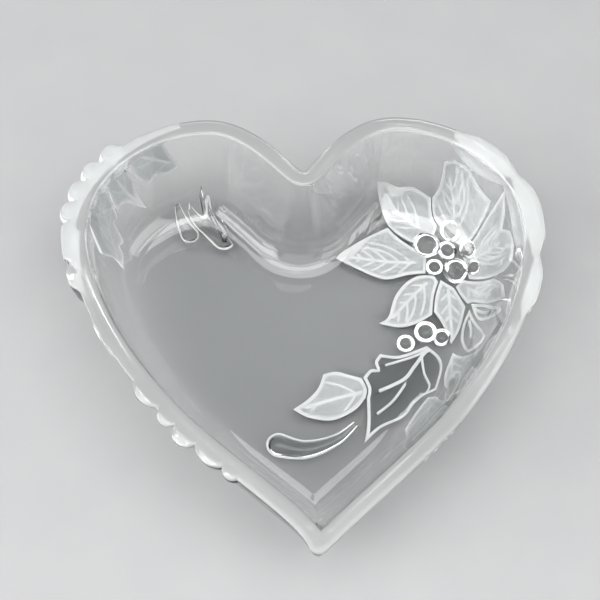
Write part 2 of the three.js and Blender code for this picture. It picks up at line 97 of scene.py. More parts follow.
class Shader:
    """One material's node tree, written as expressions."""

    def __init__(self, name: str) -> None:
        """Makes an empty node material."""
        self.material = bpy.data.materials.new(name)
        self.material.use_nodes = True
        self.tree = self.material.node_tree
        self.tree.nodes.clear()

    def node(
        self,
        kind: str,
        settings: dict | None = None,
        inputs: dict | None = None,
        out: int | str = 0,
    ) -> Sock:
        """Adds any node.

        Args:
            kind: The node's type.
            settings: Attributes set before its sockets.
            inputs: Values or sockets by input name or number.
            out: The output to return.

        Returns:
            The chosen output.
        """
        node = self.tree.nodes.new(kind)
        for key, value in (settings or {}).items():
            setattr(node, key, value)
        for key, value in (inputs or {}).items():
            if isinstance(value, Sock):
                self.tree.links.new(value.socket, node.inputs[key])
            else:
                node.inputs[key].default_value = value
        return Sock(self.tree, node.outputs[out])

    def place(self, scale: float) -> Sock:
        """Object coordinates times a scale.

        Args:
            scale: How many pattern units there are in a metre.

        Returns:
            The scaled coordinates.
        """
        coords = self.node("ShaderNodeTexCoord", out="Object")
        scaled = {"operation": "SCALE"}
        return self.node("ShaderNodeVectorMath", scaled, {0: coords, "Scale": scale})

    def noise(self, scale: float, detail: float = 3.0) -> Sock:
        """A noise pattern on object coordinates.

        Args:
            scale: Pattern units in a metre.
            detail: The noise's octaves.

        Returns:
            The noise value.
        """
        values = {"Vector": self.place(scale), "Scale": 1.0, "Detail": detail}
        return self.node("ShaderNodeTexNoise", inputs=values, out=0)

    def mix_colour(self, factor: Sock | float, a: tuple, b: tuple) -> Sock:
        """A mix of two colours."""
        colours = {0: factor, MIX_A: (*a, 1.0), MIX_B: (*b, 1.0)}
        return self.node("ShaderNodeMix", {"data_type": "RGBA"}, colours, MIX_RESULT)

    def finish(self, surface: Sock) -> bpy.types.Material:
        """Connects the surface to the material's output."""
        out = self.tree.nodes.new("ShaderNodeOutputMaterial")
        self.tree.links.new(surface.socket, out.inputs["Surface"])
        return self.material


# ---------------------------------------------------------------- finishes


@dataclass(frozen=True)
class GlassFinish:
    """A pressed-glass surface: fire-polished, frosted with acid, or plain white that paints in a
    highlight.

    Attributes:
        name: The material's name.
        tint: The glass's colour.
        worn_tint: The colour in the pattern's low places.
        transmission: How much light passes, constant over the surface.
        roughness: The lowest roughness.
        roughness_spread: How much the roughness varies.
        grain: Height of the surface grain, metres.
        grain_scale: Grain units in a metre.
        ior: Index of refraction.
    """

    name: str
    tint: tuple[float, float, float]
    worn_tint: tuple[float, float, float]
    transmission: float
    roughness: float
    roughness_spread: float
    grain: float
    grain_scale: float
    ior: float = 1.52

    def material(self) -> bpy.types.Material:
        """Builds the node material."""
        shader = Shader(self.name)
        cloud = shader.noise(self.grain_scale * CLOUD_SHARE, 2.0)
        grain = shader.noise(self.grain_scale, 3.0)
        bump = shader.node(
            "ShaderNodeBump",
            inputs={"Strength": 1.0, "Distance": self.grain, "Height": grain},
        )
        glass = shader.node(
            "ShaderNodeBsdfPrincipled",
            inputs={
                "Base Color": shader.mix_colour(cloud, self.worn_tint, self.tint),
                "Roughness": cloud * self.roughness_spread + self.roughness,
                "IOR": self.ior,
                "Transmission Weight": self.transmission,
                "Normal": bump,
            },
        )
        return shader.finish(glass)


CLOUD_SHARE = 0.04
CLEAR = GlassFinish(
    "polished_glass",
    tint=(0.985, 0.995, 0.99),
    worn_tint=(0.965, 0.98, 0.975),
    transmission=1.0,
    roughness=0.0,
    roughness_spread=0.02,
    grain=0.00001,
    grain_scale=90.0,
)
SATIN = GlassFinish(
    "satin_glass",
    tint=(0.93, 0.94, 0.94),
    worn_tint=(0.8, 0.81, 0.82),
    transmission=0.3,
    roughness=0.42,
    roughness_spread=0.15,
    grain=0.00004,
    grain_scale=2600.0,
)
# Painted highlight: an opaque plain white finish on edge ridges, veins, rim ribs and drop feet. It
# stands in for the light that these edges catch.
PAINTED_HIGHLIGHT = GlassFinish(
    "painted_highlight_glass",
    tint=(1.0, 1.0, 1.0),
    worn_tint=(0.98, 0.98, 0.98),
    transmission=0.0,
    roughness=0.3,
    roughness_spread=0.06,
    grain=0.00002,
    grain_scale=2600.0,
)
RIM = GlassFinish(
    "ground_rim_glass",
    tint=(0.93, 0.95, 0.94),
    worn_tint=(0.8, 0.82, 0.81),
    transmission=0.68,
    roughness=0.12,
    roughness_spread=0.2,
    grain=0.000003,
    grain_scale=900.0,
)


# ---------------------------------------------------------------- curves in the plan

TINY = 1e-9
TINIER = 1e-12
BATCH = 4000
SHARPEST_MITRE = 0.8


def directions(angle: np.ndarray) -> np.ndarray:
    """Unit vectors in the plane at bearings in radians."""
    return np.stack([np.cos(angle), np.sin(angle)], 1)


def ease(share: np.ndarray) -> np.ndarray:
    """A share from 0 to 1 that starts and ends gently."""
    return share * share * (3 - 2 * share)


def counter_clockwise(line: np.ndarray) -> np.ndarray:
    """A closed line, turned round where it runs clockwise."""
    following = np.roll(line, -1, 0)
    area = np.sum(line[:, 0] * following[:, 1] - following[:, 0] * line[:, 1])
    return line if area > 0 else line[::-1]


def smooth_through(points: list, step: float) -> np.ndarray:
    """A Catmull-Rom curve through points, sampled about evenly.

    Args:
        points: The points the curve passes.
        step: The spacing wanted, in the points' unit.

    Returns:
        The samples, last one included.
    """
    p = np.asarray(points, float)
    rows = []
    for i in range(len(p) - 1):
        a, b, c, d = p[max(i - 1, 0)], p[i], p[i + 1], p[min(i + 2, len(p) - 1)]
        count = max(1, round(np.linalg.norm(c - b) / step))
        t = (np.arange(count) / count)[:, None]
        v0, v1 = (c - a) / 2, (d - b) / 2
        if len(p) == 2:
            rows.append(b + (c - b) * t)
            continue
        cubic = (2 * b - 2 * c + v0 + v1) * t**3 + (-3 * b + 3 * c - 2 * v0 - v1) * t**2 + v0 * t + b
        rows.append(cubic)
    rows.append(p[-1:])
    return np.concatenate(rows)


def bezier(a: tuple, b: tuple, c: tuple, d: tuple, count: int) -> np.ndarray:
    """Samples of a cubic Bezier curve from a to d with handles b and c, without its last point."""
    t = (np.arange(count) / count)[:, None]
    a, b, c, d = map(np.array, (a, b, c, d))
    return (1 - t) ** 3 * a + 3 * (1 - t) ** 2 * t * b + 3 * (1 - t) * t**2 * c + t**3 * d


def inward_normals(line: np.ndarray, closed: bool) -> np.ndarray:
    """Unit normals to the left of a polyline's direction.

    Args:
        line: The points.
        closed: Whether the last point joins the first.

    Returns:
        One normal for each point.
    """
    if closed:
        ahead = np.roll(line, -1, 0) - line
        behind = line - np.roll(line, 1, 0)
    else:
        step = np.diff(line, axis=0)
        ahead = np.concatenate([step, step[-1:]])
        behind = np.concatenate([step[:1], step])
    ahead = ahead / np.maximum(np.linalg.norm(ahead, axis=1, keepdims=True), TINY)
    behind = behind / np.maximum(np.linalg.norm(behind, axis=1, keepdims=True), TINY)
    tangent = ahead + behind
    size = np.maximum(np.linalg.norm(tangent, axis=1, keepdims=True), SHARPEST_MITRE)
    tangent = tangent / size
    return np.stack([-tangent[:, 1], tangent[:, 0]], 1)


def distance_to_line(points: np.ndarray, line: np.ndarray, closed: bool) -> np.ndarray:
    """Distance from points to a polyline.

    Args:
        points: The points.
        line: The polyline.
        closed: Whether the last point joins the first.

    Returns:
        One distance for each point.
    """
    a = line if closed else line[:-1]
    b = np.roll(line, -1, 0) if closed else line[1:]
    best = np.full(len(points), np.inf)
    for start in range(0, len(points), BATCH):
        part = points[start : start + BATCH]
        ab = b - a
        along = ((part[:, None] - a) * ab).sum(2) / np.maximum((ab**2).sum(1), TINIER)
        foot = a + np.clip(along, 0, 1)[..., None] * ab
        best[start : start + BATCH] = np.sqrt(((part[:, None] - foot) ** 2).sum(2)).min(1)
    return best


def inside(points: np.ndarray, ring: np.ndarray) -> np.ndarray:
    """Whether points lie inside a closed outline.

    Args:
        points: The points.
        ring: The outline.

    Returns:
        One truth value for each point.
    """
    hit = np.zeros(len(points), bool)
    x, y = points[:, 0], points[:, 1]
    for (ax, ay), (bx, by) in zip(ring, np.roll(ring, -1, 0)):
        if ay == by:
            continue
        crosses = (ay > y) != (by > y)
        hit ^= crosses & (x < ax + (y - ay) * (bx - ax) / (by - ay))
    return hit


# ---------------------------------------------------------------- the heart and its wall

NOSE_SAMPLES = 10
WALL_SAMPLES = 200
INNERMOST_SHARE = 0.25
RAY_SAMPLES = 90
FINE_LEVELS = np.linspace(0, 6, 25)
COARSE_LEVELS = np.linspace(6.5, 25, 38)
SPREAD_STEPS = 160


@dataclass
class HeartOutline:
    """The plan outline of the rim, millimetres, before it is moved to the CAD's origin.

    Attributes:
        half_width: Half of the width across the lobes.
        lobe_top: The highest point of a lobe.
        shoulder: Height of the widest point.
        cleft: Height of the notch between the lobes.
        flank: The point where a lower side starts.
        nose: Centre of the small round at the tip.
        nose_radius: Radius of that round.
        nose_arc: Its first and last bearing.
        centre: The point that the wall's rays leave.
        samples: Points in each curve.
        cleft_reach: How far from the middle the notch is rounded.
        cleft_round: How much the notch is rounded.
    """

    half_width: float = 75.0
    lobe_top: tuple[float, float] = (31.0, 55.5)
    shoulder: float = 15.0
    cleft: float = 33.5
    flank: tuple[float, float] = (40.0, -57.0)
    nose: tuple[float, float] = (-2.8, -90.6)
    nose_radius: float = 3.3
    nose_arc: tuple[float, float] = (-0.2 * math.pi, -0.94 * math.pi)
    centre: tuple[float, float] = (0.0, -5.0)
    samples: int = 110
    cleft_reach: float = 8.0
    cleft_round: float = 1.1

    def points(self) -> np.ndarray:
        """The outline, clockwise from the cleft."""
        w, (tx, ty), s, c = self.half_width, self.lobe_top, self.shoulder, self.cleft
        (fx, fy), r = self.flank, self.nose_radius
        n = self.samples
        turn = np.linspace(*self.nose_arc, NOSE_SAMPLES)
        arc = np.array(self.nose) + r * directions(turn)
        rows = [
            bezier((0, c), (7, 42), (17, ty), (tx, ty), n),
            bezier((tx, ty), (52, ty), (w, 38), (w, s), n),
            bezier((w, s), (w, -10), (60, -36), (fx, fy), n),
            bezier((fx, fy), (26, -70.5), (12, -81.5), tuple(arc[0]), n),
            arc[:-1],
            bezier(tuple(arc[-1]), (-9, -84), (-25, -72), (-fx, fy), n),
            bezier((-fx, fy), (-60, -36), (-w, -10), (-w, s), n),
            bezier((-w, s), (-w, 38), (-52, ty), (-tx, ty), n),
            bezier((-tx, ty), (-17, ty), (-7, 42), (0, c), n),
        ]
        ring = np.concatenate(rows)
        near = np.abs(ring[:, 0]) < self.cleft_reach
        near &= ring[:, 1] > 0
        rise = ring[near, 1] - c
        ring[near, 1] = c + np.sqrt(rise**2 + self.cleft_round**2)
        return ring


@dataclass
class WallSection:
    """The wall's section: heights and distances in from the rim outline, millimetres.

    Attributes:
        rim_height: The rim's height.
        rim_band: The rim's width.
        rim_edge: The rim's edge rounding.
        floor_bottom: Height of the floor's underside.
        floor_top: Height of the floor's upper side.
        outer_floor: How far in from the rim the flat underside starts.
        inner_floor: How far in from the rim the flat upper side starts.
        outer_pull: The outer curve's handles: the inset of the low one, then the high one.
        inner_pull: The inner curve's handles: the high one, then the inset of the low one.
    """

    rim_height: float = 42.0
    rim_band: float = 5.5
    rim_edge: float = 0.7
    floor_bottom: float = 4.0
    floor_top: float = 9.5
    outer_floor: float = 20.0
    inner_floor: float = 24.0
    outer_pull: tuple = (8.0, (4.5, 20.0))
    inner_pull: tuple = ((10.0, 22.0), 13.0)

    def _curve(self, a: tuple, b: tuple, c: tuple, d: tuple) -> np.ndarray:
        """A finely sampled wall curve, last point included."""
        return np.concatenate([bezier(a, b, c, d, WALL_SAMPLES), [d]])

    def outer(self) -> np.ndarray:
        """The outer face from the floor's edge up to the rim, as (inset, height)."""
        top = self.rim_height - self.rim_edge
        low = self.floor_bottom
        near, high = self.outer_pull
        return self._curve((self.outer_floor, low), (near, low), high, (0, top))

    def inner(self) -> np.ndarray:
        """The inner face from the rim down to the floor, as (inset, height)."""
        top = self.rim_height - self.rim_edge
        low = self.floor_top
        high, near = self.inner_pull
        return self._curve((self.rim_band, top), high, (near, low), (self.inner_floor, low))


class HeartField:
    """Places points on the wall and floor of the dish.

    The outer face is unrolled: each point has a spread place in the plane, where the floor is
    true and the wall runs outwards from it at its full length.
    """

    def __init__(self, outline: HeartOutline, section: WallSection) -> None:
        """Measures the level lines of the outline along rays from its centre.

        Args:
            outline: The plan outline.
            section: The wall's section.
        """
        self.section = section
        self.centre = np.array(outline.centre)
        ring = outline.points()
        offset = ring - self.centre
        angle = np.arctan2(offset[:, 1], offset[:, 0])
        order = np.argsort(angle)
        self.angle = angle[order]
        reach = np.linalg.norm(offset, axis=1)[order]
        radius = reach[:, None] * np.linspace(INNERMOST_SHARE, 1.0, RAY_SAMPLES)
        places = self.centre + radius[..., None] * directions(self.angle)[:, None]
        inset = distance_to_line(places.reshape(-1, 2), ring[::2], True).reshape(radius.shape)
        inset[:, -1] = 0.0
        self.levels = np.concatenate([FINE_LEVELS, COARSE_LEVELS])
        self.table = np.empty((len(ring), len(self.levels)))
        for i, row in enumerate(inset):
            rising = np.maximum.accumulate(row[::-1])
            self.table[i] = np.interp(self.levels, rising, radius[i][::-1])
        self.outer_curve = section.outer()
        steps = np.linalg.norm(np.diff(self.outer_curve, axis=0), axis=1)
        self.outer_length = np.concatenate([[0], np.cumsum(steps)])
        self.total = self.outer_length[-1]

    def _ray(self, angle: np.ndarray) -> tuple[np.ndarray, np.ndarray, np.ndarray]:
        """The two table rays around each angle and the share of the second."""
        at = np.searchsorted(self.angle, angle) % len(self.angle)
        before = (at - 1) % len(self.angle)
        low = self.angle[before]
        high = self.angle[at]
        gap = (high - low) % (2 * math.pi)
        share = ((angle - low) % (2 * math.pi)) / np.maximum(gap, TINY)
        return before, at, np.clip(share, 0, 1)

    def radius_at(self, angle: np.ndarray, inset: np.ndarray) -> np.ndarray:
        """Distance from the centre to a level line.

        Args:
            angle: Bearings from the centre.
            inset: Distances in from the outline.

        Returns:
            One radius for each.
        """
        before, at, share = self._ray(angle)
        place = np.interp(inset, self.levels, np.arange(len(self.levels)))
        low = np.minimum(place.astype(int), len(self.levels) - 2)
        part = place - low
        rows = []
        for ray in (before, at):
            rows.append(self.table[ray, low] * (1 - part) + self.table[ray, low + 1] * part)
        return rows[0] * (1 - share) + rows[1] * share

    def at(self, angle: np.ndarray, inset: np.ndarray) -> np.ndarray:
        """Plan points on rays at given insets."""
        return self.centre + self.radius_at(angle, inset)[:, None] * directions(angle)

    def floor_reach(self, angle: np.ndarray) -> np.ndarray:
        """How far the flat underside reaches from the centre at each bearing."""
        return self.radius_at(angle, np.full(len(angle), self.section.outer_floor))

    def _polar(self, points: np.ndarray) -> tuple[np.ndarray, np.ndarray, np.ndarray, np.ndarray]:
        """Each point's offset, distance and bearing from the centre, and the floor's reach there."""
        offset = points - self.centre
        angle = np.arctan2(offset[:, 1], offset[:, 0])
        return offset, np.linalg.norm(offset, axis=1), angle, self.floor_reach(angle)

    def spread(self, plan: np.ndarray) -> np.ndarray:
        """Moves plan points to their unrolled places.

        Args:
            plan: Plan points inside or near the outline.

        Returns:
            Their spread places.
        """
        offset, radius, angle, base = self._polar(plan)
        result = plan.copy()
        steps = np.linspace(0, self.total, SPREAD_STEPS)
        insets = np.interp(steps, self.outer_length, self.outer_curve[:, 0])
        for i in np.flatnonzero(radius > base):
            line = self.radius_at(np.full(len(steps), angle[i]), insets)
            beyond = max(0.0, radius[i] - line[-1])
            run = base[i] + np.interp(radius[i], line, steps) + beyond
            result[i] = self.centre + offset[i] / radius[i] * run
        return result

    def surface(self, spread: np.ndarray) -> np.ndarray:
        """The outer face's place for spread points.

        Args:
            spread: Unrolled places.

        Returns:
            Points in space, millimetres.
        """
        _, radius, angle, base = self._polar(spread)
        run = np.clip(radius - base, 0, self.total)
        inset = np.interp(run, self.outer_length, self.outer_curve[:, 0])
        z = np.interp(run, self.outer_length, self.outer_curve[:, 1])
        plan = self.at(angle, inset)
        flat = radius <= base
        plan[flat] = spread[flat]
        return np.column_stack([plan, z])

    def on_wall(self, bearing: float, run: float) -> np.ndarray:
        """The spread place at a bearing and a length up the wall.

        Args:
            bearing: Degrees from the centre.
            run: Length up the wall from the floor's edge.

        Returns:
            The spread place.
        """
        angle = np.radians([bearing])
        return self.centre + (self.floor_reach(angle)[0] + run) * directions(angle)[0]

    def run_at_inset(self, inset: float) -> float:
        """Length up the wall to where it is a given distance in from the rim."""
        return float(np.interp(-inset, -self.outer_curve[:, 0], self.outer_length))

    def run_at_height(self, height: float) -> float:
        """Length up the wall to a height."""
        return float(np.interp(height, self.outer_curve[:, 1], self.outer_length))

    def below_rim(self, spread: np.ndarray, reach: float) -> np.ndarray:
        """A share that is 0 at the rim and 1 from a given length down the wall."""
        _, radius, _, base = self._polar(spread)
        return ease(np.clip((base + self.total - radius) / reach, 0, 1))

    def stretch(self, spread: np.ndarray) -> float:
        """How much wider than true the spread plane is around the heart at one point."""
        true = self.surface(spread[None])[0, :2] - self.centre
        return float(np.linalg.norm(spread - self.centre) / np.linalg.norm(true))


# ---------------------------------------------------------------- the relief

LINE_STEP = 0.8
VEINS_FROM = 0.12
VEINS_TO = 0.78
VEIN_LEAN = 52
LEAN_LOSS = 12
VEIN_BEND = 2.2
LONGEST_VEIN = 28
SHORTEST_VEIN = 3
VEIN_STOP = 1.6
MIDDLE_VEIN = 0.55
SIDE_VEIN = 0.4
RIDGE_SHARE = 0.98
RIDGE_LINES = (0.07, 0.25, 0.5, 0.75, 0.93, 1.03)
VEIN_LINES = (0.5, 0.86, 1.02)
DROP_LINES = (1.0, 0.98, 0.93, 0.82, 0.62, 0.35)
CROWN_REACH = 4.0
CROWN_SHARE = 0.25
STRIP_STEP = 1.6
SMALLEST_SHARE = 0.45
PAST_RIM = 3.0
BEAD_STEP = 0.7
DROP_STEP = 0.25
CAP_SAMPLES = 20
FOOT_SHARE = 0.82


class Kind(Enum):
    """What a raised outline is."""

    SATIN_LEAF = "satin_leaf"
    CLEAR_LEAF = "clear_leaf"


@dataclass
class Leaf:
    """A raised leaf or petal with a ridge round its edge and veins.

    Attributes:
        name: The matching CAD node.
        strokes: Strokes that meet in corners, plan millimetres.
        rib: The middle vein.
        kind: What it is.
        height: Height of the relief.
        side_veins: How many veins leave the middle vein on each side.
        edge: Width of the ridge round it.
        more_veins: Veins drawn one by one.
        spread_line: Its outline in the spread plane.
        veins: Its veins in the spread plane, the middle one first.
    """

    name: str
    strokes: list = field(default_factory=list)
    rib: list = field(default_factory=list)
    kind: Kind = Kind.SATIN_LEAF
    height: float = 1.5
    side_veins: int = 4
    edge: float = 1.1
    more_veins: list = field(default_factory=list)
    spread_line: np.ndarray = field(default=None, repr=False)
    veins: list = field(default_factory=list, repr=False)

    @property
    def satin(self) -> bool:
        """Whether it is frosted."""
        return self.kind is Kind.SATIN_LEAF

    def lay_out(self, field_: HeartField) -> None:
        """Works out the edge and the veins in the spread plane.

        Args:
            field_: The dish's shape.
        """
        rows = [smooth_through(stroke, LINE_STEP)[:-1] for stroke in self.strokes]
        self.spread_line = counter_clockwise(field_.spread(np.concatenate(rows)))
        drawn = [self.rib, *self.more_veins]
        self.veins = [field_.spread(smooth_through(vein, LINE_STEP)) for vein in drawn]
        rib = self.veins[0]
        steps = np.linspace(VEINS_FROM, VEINS_TO, self.side_veins)
        for i, share in enumerate(steps):
            at = share * (len(rib) - 1)
            start = np.array([np.interp(at, range(len(rib)), rib[:, k]) for k in range(2)])
            ahead = rib[min(int(at) + 1, len(rib) - 1)] - rib[int(at)]
            bearing = math.atan2(ahead[1], ahead[0])
            for side in (-1, 1):
                lean = math.radians(VEIN_LEAN - LEAN_LOSS * share)
                self._grow(start, bearing + side * lean, -side * math.radians(VEIN_BEND + (i % 2)))

    def _grow(self, start: np.ndarray, bearing: float, turn: float) -> None:
        """Adds a side vein that bends towards the tip and stops short of the edge."""
        path = [start]
        for _ in range(LONGEST_VEIN):
            following = path[-1] + LINE_STEP * directions(np.array([bearing]))[0]
            near = distance_to_line(following[None], self.spread_line, True)[0]
            if near < self.edge * VEIN_STOP or not inside(following[None], self.spread_line)[0]:
                break
            path.append(following)
            bearing += turn
        if len(path) > SHORTEST_VEIN:
            self.veins.append(np.array(path))

    def lines(self) -> list:
        """Feature lines as (points, closed), with the outline first."""
        ring = self.spread_line
        normal = inward_normals(ring, True)
        rows = [(ring, True)]
        for share in RIDGE_LINES:
            rows.append((ring + normal * self.edge * share, True))
        for i, vein in enumerate(self.veins):
            side = inward_normals(vein, False) * self._vein_width(i)
            rows.append((vein, False))
            for share in VEIN_LINES:
                rows += [(vein + side * share, False), (vein - side * share, False)]
        return rows

    def _vein_width(self, index: int) -> float:
        """Half the width of a vein."""
        return MIDDLE_VEIN if index == 0 else SIDE_VEIN

    def heights(self, points: np.ndarray) -> tuple[np.ndarray, np.ndarray]:
        """Relief height and a mark for the ridges, at spread points.

        Args:
            points: The spread points.

        Returns:
            The heights, and marks: 0 outside, 1 in the leaf, 2 on its edge ridge or a vein, which get
                the painted highlight.
        """
        ring = self.spread_line
        height = np.zeros(len(points))
        mark = np.zeros(len(points))
        low, high = ring.min(0) - 0.1, ring.max(0) + 0.1
        near = np.flatnonzero(((points >= low) & (points <= high)).all(1))
        if not len(near):
            return height, mark
        p = points[near]
        within = inside(p, ring)
        away = distance_to_line(p, ring, True)
        depth = np.where(within, away, 0.0)
        body, bright = self._section(depth)
        lift = np.zeros(len(p))
        for i, vein in enumerate(self.veins):
            width = self._vein_width(i)
            gap = np.clip(distance_to_line(p, vein, False) / width, 0, 1)
            lift = np.maximum(lift, width * np.sqrt(1 - gap**2))
            # Veins are marked for the painted highlight as well.
            bright |= gap < RIDGE_SHARE
        height[near] = np.where(within, body + lift * np.clip(depth / self.edge, 0, 1), 0)
        mark[near] = np.where(within, np.where(bright, 2, 1), 0)
        return height, mark

    def _section(self, depth: np.ndarray) -> tuple[np.ndarray, np.ndarray]:
        """Height without the veins, and where the edge ridge is, which gets the painted highlight.

        Args:
            depth: Distances in from the outline.

        Returns:
            The heights and one truth value for each.
        """
        half = self.edge / 2
        rise = ease(np.clip(depth / half, 0, 1))
        ridge = np.sqrt(np.clip(half**2 - (depth - half) ** 2, 0, None))
        crown = 1 - np.exp(-np.maximum(depth - self.edge, 0) / CROWN_REACH)
        body = (self.height - half) * rise + ridge + self.height * CROWN_SHARE * crown
        return body, depth < self.edge


@dataclass
class RimStrip(Leaf):
    """A long low relief on the wall just under the rim.

    Attributes:
        start: First bearing from the centre, degrees.
        end: Last bearing, degrees.
        depth: How far in from the rim it reaches, millimetres in the plan.
        ribs: Lengthwise ridges on it, each as a share of its depth.
        square: Whether it is as deep at its ends as in its middle.
        taper: Degrees over which it dies away at each end.
        middle: The point the bearings are taken from.
    """

    start: float = 0.0
    end: float = 0.0
    depth: float = 2.4
    ribs: tuple[float, ...] = ()
    square: bool = False
    edge: float = 2.0
    taper: float = 7.0
    middle: np.ndarray = field(default=None, repr=False)

    def lay_out(self, field_: HeartField) -> None:
        """Works out the edge and the ridges in the spread plane.

        Args:
            field_: The dish's shape.
        """
        self.middle = field_.centre
        count = max(6, int(abs(self.end - self.start) * STRIP_STEP))
        bearings = np.linspace(self.start, self.end, count)
        swell = np.sin(np.linspace(0, math.pi, count))
        share = np.ones(count) if self.square else SMALLEST_SHARE + (1 - SMALLEST_SHARE) * swell
        past = field_.total + PAST_RIM
        upper = [field_.on_wall(b, past) for b in bearings]
        runs = [field_.run_at_inset(self.depth * k) for k in share]
        lower = [field_.on_wall(b, run) for b, run in zip(bearings, runs)]
        self.spread_line = counter_clockwise(np.array(upper + lower[::-1]))
        self.veins = []
        for rib in self.ribs:
            runs = [field_.run_at_inset(self.depth * k * rib) for k in share[1:-1]]
            self.veins.append(np.array([field_.on_wall(b, r) for b, r in zip(bearings[1:-1], runs)]))

    def heights(self, points: np.ndarray) -> tuple[np.ndarray, np.ndarray]:
        """A leaf's heights and marks, dying away towards both ends."""
        height, mark = super().heights(points)
        away = points - self.middle
        bearing = np.degrees(np.arctan2(away[:, 1], away[:, 0]))
        half = abs(self.end - self.start) / 2
        off = np.abs((bearing - (self.start + self.end) / 2 + 180) % 360 - 180)
        left = np.clip((half - off) / self.taper, 0, 1)
        return height * np.sin(left * math.pi / 2) ** 2, mark

    def _section(self, depth: np.ndarray) -> tuple[np.ndarray, np.ndarray]:
        """A plain rounded step with no ridge."""
        return self.height * ease(np.clip(depth / self.edge, 0, 1)), depth < 0


@dataclass
class Bead:
    """A berry on the outer face: a ball whose centre lies in the face or is sunk below it.

    Attributes:
        name: The matching CAD node.
        place: Its centre, plan millimetres.
        radius: The ball's radius.
        satin: Whether it is frosted.
        sink: How far the ball's centre is below the face.
        rings: Where its feature rings lie, as shares of its reach.
        centre: Its centre in the spread plane.
    """

    name: str
    place: tuple[float, float]
    radius: float
    satin: bool = False
    sink: float = 0.0
    rings: tuple[float, ...] = (1.0, 0.985, 0.94, 0.86, 0.74, 0.58, 0.4, 0.2)
    centre: np.ndarray = field(default=None, repr=False)

    def lay_out(self, field_: HeartField) -> None:
        """Finds the centre in the spread plane and the width of the plane there.

        Args:
            field_: The dish's shape.
        """
        if self.centre is None:
            self.centre = field_.spread(np.array([self.place], float))[0]
        away = self.centre - field_.centre
        self.out = away / np.linalg.norm(away)
        self.around = np.array([-self.out[1], self.out[0]])
        self.wide = field_.stretch(self.centre)
        self.reach = math.sqrt(self.radius**2 - self.sink**2)

    def lines(self) -> list:
        """Feature rings as (points, closed)."""
        count = max(24, int(2 * math.pi * self.radius / BEAD_STEP))
        turn = np.arange(count) / count * 2 * math.pi
        rows = []
        for share in self.rings:
            part = turn[:: 1 if share > 0.5 else 2]
            reach = self.reach * share
            out = np.cos(part)[:, None] * self.out
            around = np.sin(part)[:, None] * self.around * self.wide
            rows.append((self.centre + reach * (out + around), True))
        return rows

    def heights(self, points: np.ndarray) -> tuple[np.ndarray, np.ndarray]:
        """Relief height and a mark at spread points.

        Args:
            points: The spread points.

        Returns:
            The heights, and marks: 0 outside, 1 in the bead.
        """
        away = points - self.centre
        out = away @ self.out
        around = away @ self.around / self.wide
        gap = out**2 + around**2
        height = np.sqrt(np.clip(self.radius**2 - gap, 0, None)) - self.sink
        return np.clip(height, 0, None), (gap < self.reach**2).astype(float)


@dataclass
class WallBead(Bead):
    """A bead on the steep part of the wall.

    Attributes:
        bearing: Its bearing from the centre, degrees.
        level: Its height.
    """

    bearing: float = 0.0
    level: float = 38.0

    def lay_out(self, field_: HeartField) -> None:
        """Finds the centre up the wall."""
        self.centre = field_.on_wall(self.bearing, field_.run_at_height(self.level))
        super().lay_out(field_)


@dataclass
class Drop:
    """A long clear drop, fine at its neck and round at its end.

    Attributes:
        name: The matching CAD node.
        plan: The middle line from neck to end, plan millimetres.
        radius: Radius near the round end.
        neck: Radius at the neck.
        rise: Height as a share of the radius.
        painted_foot_highlight: Whether the foot ring of its sides gets the painted highlight.
        bodies: Its middle line in the spread plane and the radius at each point.
    """

    name: str
    plan: list
    radius: float
    neck: float = 1.0
    rise: float = 1.0
    painted_foot_highlight: bool = False
    bodies: tuple = field(default=None, repr=False)

    @property
    def satin(self) -> bool:
        """Whether it is frosted all over."""
        return False

    def lay_out(self, field_: HeartField) -> None:
        """Works out the middle line and its radii.

        Args:
            field_: The dish's shape.
        """
        line = field_.spread(smooth_through(self.plan, 0.5))
        run = np.concatenate([[0], np.cumsum(np.linalg.norm(np.diff(line, axis=0), axis=1))])
        even = np.linspace(0, run[-1], int(run[-1] / DROP_STEP))
        line = np.stack([np.interp(even, run, line[:, k]) for k in range(2)], 1)
        end = even[-1] - self.radius
        radius = self.neck + (self.radius - self.neck) * np.clip(even / end, 0, 1)
        keep = even <= end + 0.01
        self.bodies = (line[keep], radius[keep])

    def lines(self) -> list:
        """Feature lines as (points, closed)."""
        line, radius = (part[::2] for part in self.bodies)
        side = inward_normals(line, False) * radius[:, None]
        ahead = line[-1] - line[-2]
        bearing = math.atan2(ahead[1], ahead[0])
        turn = np.linspace(-math.pi / 2, math.pi / 2, CAP_SAMPLES)[1:-1]
        way = directions(bearing + turn)
        rows = [(line, False)]
        for share in DROP_LINES:
            cap = line[-1] + radius[-1] * share * way
            rows.append((np.concatenate([line - side * share, cap, (line + side * share)[::-1]]), True))
        return rows

    def heights(self, points: np.ndarray) -> tuple[np.ndarray, np.ndarray]:
        """Relief height and a mark at spread points.

        Args:
            points: The spread points.

        Returns:
            The heights, and marks: 0 outside, 1 in the drop, 2 on the foot ring that gets the painted
                highlight.
        """
        line, radius = self.bodies
        best = np.zeros(len(points))
        foot = np.zeros(len(points), bool)
        low, high = line.min(0) - self.radius - 0.2, line.max(0) + self.radius + 0.2
        near = np.flatnonzero(((points >= low) & (points <= high)).all(1))
        if len(near):
            gap = ((points[near][:, None] - line) ** 2).sum(2)
            best[near] = np.sqrt(np.clip(radius**2 - gap, 0, None)).max(1) * self.rise
            # The outer ring of the foot gets the painted highlight: white where the edge catches light.
            foot[near] = (gap / radius**2).min(1) > FOOT_SHARE**2
        return best, np.where(best > 0, np.where(foot & self.painted_foot_highlight, 2.0, 1.0), 0.0)


Motif = Leaf | Bead | Drop

